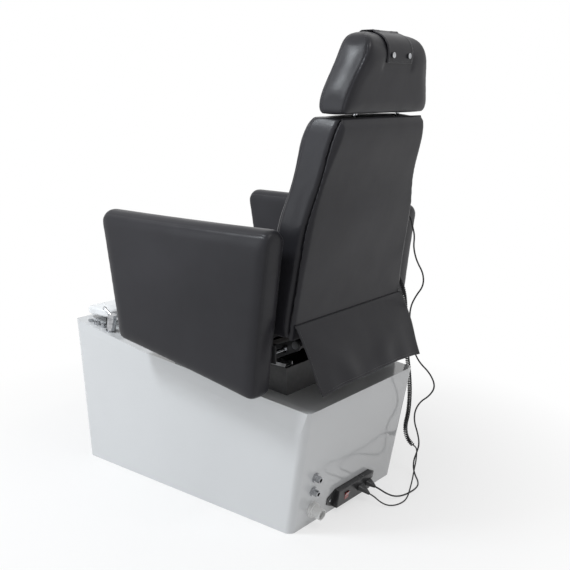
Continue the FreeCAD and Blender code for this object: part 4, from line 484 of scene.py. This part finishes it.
def contour(mesh, values, level, keep=None):
    """Lines on a mesh where the values at its points pass a level. keep(line) says which of a
    line's points stay."""
    mesh.calc_loop_triangles()
    points = read(mesh)
    corners = np.empty(len(mesh.loop_triangles) * 3, np.int32)
    mesh.loop_triangles.foreach_get("vertices", corners)
    corners = corners.reshape(-1, 3)
    above = values[corners] > level
    crossed = corners[(above.any(axis=1)) & (~above.all(axis=1))]
    spots, near = {}, {}
    for a, b, c in crossed:
        ends = []
        for i, j in ((a, b), (b, c), (c, a)):
            if (values[i] > level) != (values[j] > level):
                key = (min(i, j), max(i, j))
                share = (level - values[key[0]]) / (values[key[1]] - values[key[0]])
                spots[key] = points[key[0]] + (points[key[1]] - points[key[0]]) * share
                ends.append(key)
        near.setdefault(ends[0], []).append(ends[1])
        near.setdefault(ends[1], []).append(ends[0])
    lines, used = [], set()
    for key in sorted(near, key=lambda k: len(near[k])):
        if key in used:
            continue
        line = [key]
        used.add(key)
        while True:
            ahead = [k for k in near[line[-1]] if k not in used]
            if not ahead:
                break
            used.add(ahead[0])
            line.append(ahead[0])
        if line[0] in near[line[-1]] and len(line) > 8:
            line.append(line[0])
        lines.append(np.array([spots[k] for k in line]))
    if keep is None:
        return [line for line in lines if len(line) > SHORTEST_LINE]
    parts = []
    for line in lines:
        flags = keep(line)
        cuts = np.flatnonzero(np.diff(flags.astype(int))) + 1
        parts += [p for p, f in zip(np.split(line, cuts), np.split(flags, cuts)) if f[0]]
    return [part for part in parts if len(part) > SHORTEST_LINE]


def spaced(line, step):
    """Points at even steps along a line."""
    gaps = np.linalg.norm(np.diff(line, axis=0), axis=1)
    marks = np.concatenate(([0.0], np.cumsum(gaps)))
    places = np.arange(step / 2.0, marks[-1], step)
    return np.array([[np.interp(d, marks, line[:, i]) for i in range(3)] for d in places])


def seam(pad, lines, depth=0.0017, width=0.0032, pucker=0.30):
    """Draws the cover in along the lines, with small puckers."""
    marks = [p for line in lines for p in spaced(line, SEAM_STEP)]
    tree = KDTree(len(marks))
    for i, mark in enumerate(marks):
        tree.insert(mark, i)
    tree.balance()
    points, normals = read(pad.data), read(pad.data, "normal")
    found = [tree.find(Vector(p)) for p in points]
    far = np.array([f[2] for f in found])
    along = np.array([f[1] for f in found]) * SEAM_STEP
    wave = 1.0 - pucker * (0.5 + 0.5 * np.sin(along * 2.0 * math.pi / PUCKER_PITCH))
    pull = depth * wave * np.exp(-(far / width) ** 2)
    pull += 0.35 * depth * np.exp(-(far / (4.0 * width)) ** 2)
    write(pad.data, points - normals * pull[:, None])


def stitches(name, pad, lines, offset, body, pitch=0.0052, half=0.0017, radius=0.00055):
    """A row of sewn stitches beside the lines, in one mesh."""
    skin = skin_of(pad.data)
    points, faces = [], []
    sides = 5
    profile = ((-half, 0.35), (-0.55 * half, 1.0), (0.55 * half, 1.0), (half, 0.35))
    for line in lines:
        spots = spaced(line, pitch)
        for i in range(1, len(spots) - 1):
            along = Vector(spots[i + 1] - spots[i - 1]).normalized()
            _, normal, _, _ = skin.find_nearest(Vector(spots[i]))
            across = normal.cross(along).normalized()
            spot, normal, _, _ = skin.find_nearest(Vector(spots[i]) + across * offset)
            across = normal.cross(along).normalized()
            first = len(points)
            for reach, share in profile:
                sunk = 0.25 * radius if share == 1.0 else -0.9 * radius
                centre = spot + along * reach + normal * sunk
                for k in range(sides):
                    turn = 2.0 * math.pi * k / sides
                    points.append(centre + (across * math.cos(turn) + normal * math.sin(turn))
                                  * radius * share)
            for row in range(3):
                for k in range(sides):
                    a, b = first + row * sides + k, first + row * sides + (k + 1) % sides
                    faces.append((a, b, b + sides, a + sides))
            faces.append(tuple(first + k for k in reversed(range(sides))))
            faces.append(tuple(first + 3 * sides + k for k in range(sides)))
    row = place(from_lists(name, points, faces), body, "upholstery")
    row.data.materials[0] = THREAD
    return row


def mirrored(name, source):
    """A copy of a piece on the other side of the chair."""
    mesh = source.data.copy()
    write(mesh, read(mesh) * np.array((-1.0, 1.0, 1.0)))
    mesh.flip_normals()
    return bpy.data.objects.new(name, mesh)


# Backrest

FLAP_TOP, BACK_TOP, BACK_WAIST = 0.662, 1.243, 0.970
CUSHION_REAR_SEAM, CUSHION_FRONT_SEAM = -0.021, -0.114
PANEL_SPREAD, PANEL_ROLL = 0.005, 0.007
STITCH_OFFSET = 0.004


def back_rear(z):
    """The y of the backrest's rear face at a height."""
    t = (z - FLAP_TOP) / (BACK_TOP - FLAP_TOP)
    return 0.4915 + 0.1155 * t - 0.044 * t * (1.0 - t)


def back_half(z):
    """Half the backrest's width at a height."""
    lower = 0.288 - 0.020 * (z - FLAP_TOP) / (BACK_WAIST - FLAP_TOP)
    upper = 0.268 - 0.055 * (z - BACK_WAIST) / (BACK_TOP - BACK_WAIST)
    return np.where(z < BACK_WAIST, lower, upper)


def cushion_room(points, normals):
    x, y, z = points.T
    front = (normals[:, 1] < -0.4) & (y - back_rear(z) < -0.11)
    side = (np.abs(normals[:, 0]) > 0.6) & (np.abs(x) > back_half(z) - 0.006)
    return np.where(front, 0.004, np.where(side, 0.0015 * smooth(z, 0.95, 1.0), 0.0002))


def crown(pad, base, top, rise, rear_share):
    """Lifts the pad's upper end, more towards its front and its middle."""
    points = read(pad.data)
    x, y, z = points.T
    forward = smooth(back_rear(z) - y, 0.0, 0.09)
    middle = np.sqrt(np.clip(1.0 - (x / back_half(z)) ** 2, 0.0, 1.0))
    points[:, 2] += (rise * smooth(z, base, top) * (rear_share + (1.0 - rear_share) * forward)
                     * (0.45 + 0.55 * middle))
    write(pad.data, points)


cushion = soft_pad("backrest_pad", "backrest_cushion", 0.006, 0.003, 0.012, cushion_room)
crown(cushion, 1.19, BACK_TOP, 0.011, 0.3)
cushion_points = read(cushion.data)
depths = cushion_points[:, 1] - back_rear(cushion_points[:, 2])
rear_seam = contour(cushion.data, depths, CUSHION_REAR_SEAM,
                    lambda p: (np.abs(p[:, 0]) > back_half(p[:, 2]) - 0.010) | (p[:, 2] > 1.225))
front_seam = contour(cushion.data, depths, CUSHION_FRONT_SEAM)
seam(cushion, rear_seam + front_seam)
place(cushion, "backrest", "upholstery", "backrest_cushion")
stitches("backrest_pad_stitches", cushion, rear_seam, STITCH_OFFSET, "backrest")
stitches("backrest_front_stitches", cushion, front_seam, STITCH_OFFSET, "backrest")


def panel_room(points, normals):
    edge = (np.abs(normals[:, 0]) > 0.4) | (normals[:, 2] > 0.4)
    return np.where(edge, PANEL_SPREAD, np.where(normals[:, 1] > 0.7, 0.0022, 0.0002))


def roll_rims(pad):
    """Rounds the rear face over at its upper end and its sides."""
    points, normals = read(pad.data), read(pad.data, "normal")
    inside = back_half(points[:, 2]) - np.abs(points[:, 0])
    side = 1.0 - smooth(inside - inside.min(), 0.0, 0.026)
    high = smooth(points[:, 2], BACK_TOP - 0.034, BACK_TOP + 0.002)
    rear = smooth(normals[:, 1], -0.2, 0.5)
    roll = PANEL_ROLL * np.maximum(high ** 2, side ** 2) * rear
    write(pad.data, points - np.outer(roll, (0.0, 1.0, 0.0)))


panel = soft_pad("rear_panel", "backrest_rear_panel", 0.0045, 0.001, 0.0, panel_room,
                 dent=0.0012)
roll_rims(panel)
place(panel, "backrest", "upholstery", "backrest_rear_panel")


# Headrest: heights, and the y of its front and rear faces there

HEAD_Z = (1.258, 1.268, 1.300, 1.360, 1.420, 1.448, 1.470, 1.481)
HEAD_FRONT = (0.523, 0.515, 0.512, 0.521, 0.531, 0.536, 0.543, 0.556)
HEAD_REAR = (0.604, 0.612, 0.620, 0.633, 0.646, 0.640, 0.618, 0.592)
HEAD_REAR_SEAM, HEAD_FRONT_SEAM = -0.012, 0.014
HEAD_DROP = 0.005
STRAP_HALF = 0.068


def clear_of_strap(p):
    return (np.abs(p[:, 0]) > STRAP_HALF + 0.006) | (p[:, 2] < 1.38)


def head_room(points, normals):
    under = (np.abs(points[:, 0]) < STRAP_HALF + 0.01) & (points[:, 2] > 1.375)
    return np.where(under | (normals[:, 2] < -0.5), 0.0, 0.0025)


headrest = soft_pad("headrest_cushion", "headrest_pad", 0.0055, 0.002, 0.011, head_room)
head_points = read(headrest.data)
to_rear = head_points[:, 1] - np.interp(head_points[:, 2], HEAD_Z, HEAD_REAR)
to_front = head_points[:, 1] - np.interp(head_points[:, 2], HEAD_Z, HEAD_FRONT)
head_rear_seam = contour(headrest.data, to_rear, HEAD_REAR_SEAM, clear_of_strap)
head_front_seam = contour(headrest.data, to_front, HEAD_FRONT_SEAM, clear_of_strap)
seam(headrest, head_rear_seam + head_front_seam, depth=0.0013, width=0.0026)
head_points = read(headrest.data)
head_points[:, 2] -= HEAD_DROP * (1.0 - smooth(head_points[:, 2], 1.262, 1.30))
write(headrest.data, head_points)
place(headrest, "headrest", "upholstery", "headrest_pad")
stitches("headrest_rear_stitches", headrest, head_rear_seam, -STITCH_OFFSET, "headrest")
stitches("headrest_front_stitches", headrest, head_front_seam, STITCH_OFFSET, "headrest")

STRAP_START, STRAP_END = -7.6, 142.5
STRAP_ROWS, STRAP_COLUMNS = 61, 31
STRAP_CENTRE = (0.59, 1.40)
STRAP_INSET, STRAP_LIFT, STRAP_THICK = 0.0012, 0.0004, 0.0026


def strap_band():
    """The band over the headrest, with turned edges, from rays to the node's outer face."""
    skin = skin_of(NODES["headrest_strap"].data)
    wide = STRAP_COLUMNS
    half = (wide - 1) / 2.0
    rows = []
    for step in range(STRAP_ROWS):
        turn = math.radians(STRAP_START + (STRAP_END - STRAP_START) * step / (STRAP_ROWS - 1.0))
        way = Vector((0.0, math.cos(turn), math.sin(turn)))
        row = []
        for i in range(wide):
            x = (STRAP_HALF - STRAP_INSET) * (i / half - 1.0)
            hit = skin.ray_cast(Vector((x, *STRAP_CENTRE)) + way * 0.3, -way)[0]
            if hit is None:
                break
            edge = abs(i / half - 1.0)
            rise = 0.0006 * math.exp(-((edge - 0.93) / 0.05) ** 2)
            rise -= 0.0012 * max(0.0, edge - 0.965) / 0.035
            row.append((hit + way * (rise - STRAP_LIFT), hit - way * STRAP_THICK))
        if len(row) == wide:
            rows.append(row)
    points = [entry[layer] for layer in (0, 1) for row in rows for entry in row]
    faces = []
    count = len(rows) * wide
    for r in range(len(rows) - 1):
        for i in range(wide - 1):
            a = r * wide + i
            faces.append((a, a + wide, a + wide + 1, a + 1))
            faces.append((count + a, count + a + 1, count + a + wide + 1, count + a + wide))
        for i in (0, wide - 1):
            a = r * wide + i
            quad = (a, count + a, count + a + wide, a + wide)
            faces.append(quad if i == 0 else quad[::-1])
    for r in (0, len(rows) - 1):
        for i in range(wide - 1):
            a = r * wide + i
            quad = (a, a + 1, count + a + 1, count + a)
            faces.append(quad if r == 0 else quad[::-1])
    lines = [np.array([tuple(row[i][0]) for row in rows]) for i in (2, wide - 3)]
    lines.append(np.array([tuple(entry[0]) for entry in rows[2][2:wide - 2]]))
    return from_lists("headrest_band", points, faces), lines


strap, strap_lines = strap_band()
place(strap, "headrest", "upholstery", "headrest_strap")
stitches("headrest_band_stitches", strap, strap_lines, 0.0, "headrest", pitch=0.0045,
         half=0.0014, radius=0.00045)


# Seat

SEAT_UPPER_SEAM, SEAT_LOWER_SEAM = 0.662, 0.584


def seat_room(points, normals):
    top = (normals[:, 2] > 0.5) & (points[:, 2] > 0.64)
    return np.where(top, 0.005, 0.0002)


seat = soft_pad("seat_pad", "seat_cushion", 0.006, 0.003, 0.014, seat_room)
heights = read(seat.data)[:, 2]
seat_seams = (contour(seat.data, heights, SEAT_UPPER_SEAM)
              + contour(seat.data, heights, SEAT_LOWER_SEAM))
seam(seat, seat_seams)
place(seat, "seat", "upholstery", "seat_cushion")
stitches("seat_pad_stitches", seat, seat_seams[:1], STITCH_OFFSET, "seat")


# Armrests

ARM_OUTER_SEAM, ARM_INNER_SEAM = 0.3865, 0.3235
PIVOT_Y, PIVOT_Z, PIVOT_ROOM = 0.428, 0.573, 0.02


def clear_of_pivot(p):
    return (np.abs(p[:, 1] - PIVOT_Y) > PIVOT_ROOM) | (np.abs(p[:, 2] - PIVOT_Z) > PIVOT_ROOM)


def arm_room(points, normals):
    outer = (normals[:, 0] > 0.6) & (points[:, 0] > 0.38)
    return np.where(outer, 0.0065, np.where(normals[:, 0] < -0.5, 0.0, 0.0008))


arm = soft_pad("armrest_left_pad", "arm_pad_left", 0.006, 0.002, 0.010, arm_room)
across = read(arm.data)[:, 0]
outer_seam = contour(arm.data, across, ARM_OUTER_SEAM, clear_of_pivot)
inner_seam = contour(arm.data, across, ARM_INNER_SEAM, clear_of_pivot)
seam(arm, inner_seam)
seam(arm, outer_seam, depth=0.0006, width=0.0022)
other = mirrored("armrest_right_pad", arm)
place(arm, "armrest_left", "upholstery", "arm_pad_left")
place(other, "armrest_right", "upholstery", "arm_pad_right")
sewn = stitches("armrest_left_stitches", arm, inner_seam, STITCH_OFFSET, "armrest_left")
twin = place(mirrored("armrest_right_stitches", sewn), "armrest_right", "upholstery")
twin.data.materials[0] = THREAD


# Rear skirt

FOLD_SHARE = 0.07
HEM_INSET, HEM_DEPTH, HEM_STEPS, HEM_PROUD = 0.030, 0.955, 40, 0.0012


def ridge(offset, width):
    """A soft crease, 1 at its middle."""
    return math.exp(-(offset / width) ** 2)


def flap_point(u, v):
    """A point of the skirt's middle layer: u runs across it, from -1 to 1, and v down it."""
    half = 0.2862 - 0.0150 * v + 0.0030 * math.sin(math.pi * v)
    fold = math.sin(0.5 * math.pi * min(1.0, v / FOLD_SHARE))
    y = 0.4938 + 0.0070 * fold + 0.0817 * v
    y += 0.0055 * math.sin(math.pi * min(1.0, 1.15 * v)) ** 2
    y += 0.0040 * v * math.cos(0.5 * math.pi * u) + 0.0050 * v * v * u ** 4
    y += v * (0.0045 * ridge(u - 1.0 + 0.75 * v, 0.20) - 0.0024 * ridge(u - 0.45 + 0.5 * v, 0.26)
              + 0.0036 * ridge(u + 1.0 - 0.95 * v, 0.24) - 0.0022 * ridge(u + 0.2 - 0.3 * v, 0.30))
    y += 0.0010 * math.sin(17.0 * u + 0.6) * v * v
    drop = 0.0030 * (1.0 - math.cos(0.5 * math.pi * min(1.0, v / FOLD_SHARE)))
    z = 0.6627 - drop - 0.1960 * v + 0.0100 * v * v * (1.0 - u * u) - 0.0014 * v * math.cos(5.0 * u)
    return Vector((half * u, y, z))


def make_flap():
    """A thin sheet in two layers with rounded rims."""
    wide, tall, thick = 90, 44, 0.0022
    points, faces = [], []
    for layer in (-0.5, 0.5):
        for r in range(tall + 1):
            for c in range(wide + 1):
                u, v = 2.0 * c / wide - 1.0, r / tall
                here = flap_point(u, v)
                du = flap_point(u + 0.01, v) - flap_point(u - 0.01, v)
                dv = flap_point(u, v + 0.01) - flap_point(u, v - 0.01)
                normal = du.cross(dv).normalized()
                rim = min(c, wide - c, tall - r) == 0
                points.append(here - normal * (layer * thick * (0.45 if rim else 1.0)))
    count = (wide + 1) * (tall + 1)
    for r in range(tall):
        for c in range(wide):
            a = r * (wide + 1) + c
            b = a + wide + 1
            faces.append((a, b, b + 1, a + 1))
            faces.append((count + a, count + a + 1, count + b + 1, count + b))
    ring = [(0, c) for c in range(wide)] + [(r, wide) for r in range(tall)]
    ring += [(tall, c) for c in range(wide, 0, -1)] + [(r, 0) for r in range(tall, 0, -1)]
    loop = [r * (wide + 1) + c for r, c in ring]
    for a, b in zip(loop, loop[1:] + loop[:1]):
        faces.append((a, b, count + b, count + a))
    flap = from_lists("rear_skirt", points, faces)
    SCENE.collection.objects.link(flap)
    flap.modifiers.new("finer", "SUBSURF").levels = 1
    bake(flap)
    flap.data.shade_smooth()
    return flap


flap = place(make_flap(), "backrest", "upholstery", "rear_flap")
hem_end = 1.0 - HEM_INSET
hem = [np.array([tuple(flap_point(side * hem_end, k / HEM_STEPS)) for k in range(2, HEM_STEPS - 2)])
       for side in (-1.0, 1.0)]
hem.append(np.array([tuple(flap_point(hem_end * (k / HEM_STEPS - 1.0), HEM_DEPTH))
                     for k in range(2 * HEM_STEPS + 1)]))
rear_face = [line + np.array((0.0, HEM_PROUD, 0.0)) for line in hem]
hem_row = stitches("rear_skirt_stitches", flap, rear_face, 0.0, "backrest", pitch=0.0048)


# Floor and lights

FLOOR_NEAR, FLOOR_FAR, FLOOR_GLOW = 0.45, 1.5, 0.6
FLOOR_HALF, FLOOR_SUNK = 9, 0.0006
ROOM_LIGHT = 0.37


def seen(tree):
    """1 for rays from the camera, and through glass or off a gloss, and 0 for the others."""
    path = tree.nodes.new("ShaderNodeLightPath")
    share = path.outputs["Is Camera Ray"]
    for name in ("Is Glossy Ray", "Is Transmission Ray"):
        node = tree.nodes.new("ShaderNodeMath")
        node.operation = "MAXIMUM"
        tree.links.new(share, node.inputs[0])
        tree.links.new(path.outputs[name], node.inputs[1])
        share = node.outputs[0]
    return share


def studio_floor():
    """A pale floor that turns into the white backdrop away from the chair."""
    material, tree, shader, spot = new_material("pale_floor")
    shader.inputs["Base Color"].default_value = (0.93, 0.93, 0.93, 1.0)
    shader.inputs["Roughness"].default_value = 0.85
    shader.inputs["Specular IOR Level"].default_value = 0.1
    reach = tree.nodes.new("ShaderNodeVectorMath")
    reach.operation = "LENGTH"
    tree.links.new(spot, reach.inputs[0])
    far = spread(tree, reach.outputs["Value"], FLOOR_GLOW, 1.0, FLOOR_NEAR, FLOOR_FAR)
    share = tree.nodes.new("ShaderNodeMath")
    share.operation = "MULTIPLY"
    tree.links.new(far, share.inputs[0])
    tree.links.new(seen(tree), share.inputs[1])
    glow = tree.nodes.new("ShaderNodeEmission")
    mix = tree.nodes.new("ShaderNodeMixShader")
    output = tree.nodes["Material Output"]
    tree.links.new(share.outputs[0], mix.inputs[0])
    tree.links.new(shader.outputs["BSDF"], mix.inputs[1])
    tree.links.new(glow.outputs["Emission"], mix.inputs[2])
    tree.links.new(mix.outputs["Shader"], output.inputs["Surface"])
    return material


floor_mesh = bpy.data.meshes.new("floor")
floor_corners = [(x * FLOOR_HALF, y * FLOOR_HALF, 0) for x, y in ((-1, -1), (1, -1), (1, 1), (-1, 1))]
floor_mesh.from_pydata(floor_corners, [], [(0, 1, 2, 3)])
floor = bpy.data.objects.new("floor", floor_mesh)
floor.location = (0.0, 0.0, -FLOOR_SUNK)
SCENE.collection.objects.link(floor)
floor_mesh.materials.append(studio_floor())


def lamp(name, spot, target, width, height, power, tint=(1.0, 1.0, 1.0)):
    """A softbox at a spot that faces its target."""
    light = bpy.data.lights.new(name, "AREA")
    light.shape = "RECTANGLE"
    light.size, light.size_y = width, height
    light.energy = power
    light.color = tint
    obj = bpy.data.objects.new(name, light)
    obj.location = spot
    obj.rotation_euler = (Vector(target) - Vector(spot)).to_track_quat("-Z", "Y").to_euler()
    SCENE.collection.objects.link(obj)


lamp("key_softbox", (2.0, -1.1, 3.3), (0.1, 0.0, 0.6), 0.75, 0.75, 72.0, (0.91, 0.96, 1.0))
lamp("rear_top_softbox", (0.3, 1.9, 3.3), (0.0, 0.45, 0.9), 1.2, 0.4, 15.0)
lamp("side_softbox", (3.4, -1.7, 1.5), (0.1, 0.0, 0.75), 1.6, 2.0, 26.0, (0.91, 0.96, 1.0))

world = bpy.data.worlds.new("studio")
world.use_nodes = True
backdrop = world.node_tree.nodes["Background"]
backdrop.inputs["Color"].default_value = (1.0, 1.0, 1.0, 1.0)
level = spread(world.node_tree, seen(world.node_tree), ROOM_LIGHT, 1.0, 0.0, 1.0)
world.node_tree.links.new(level, backdrop.inputs["Strength"])
SCENE.world = world
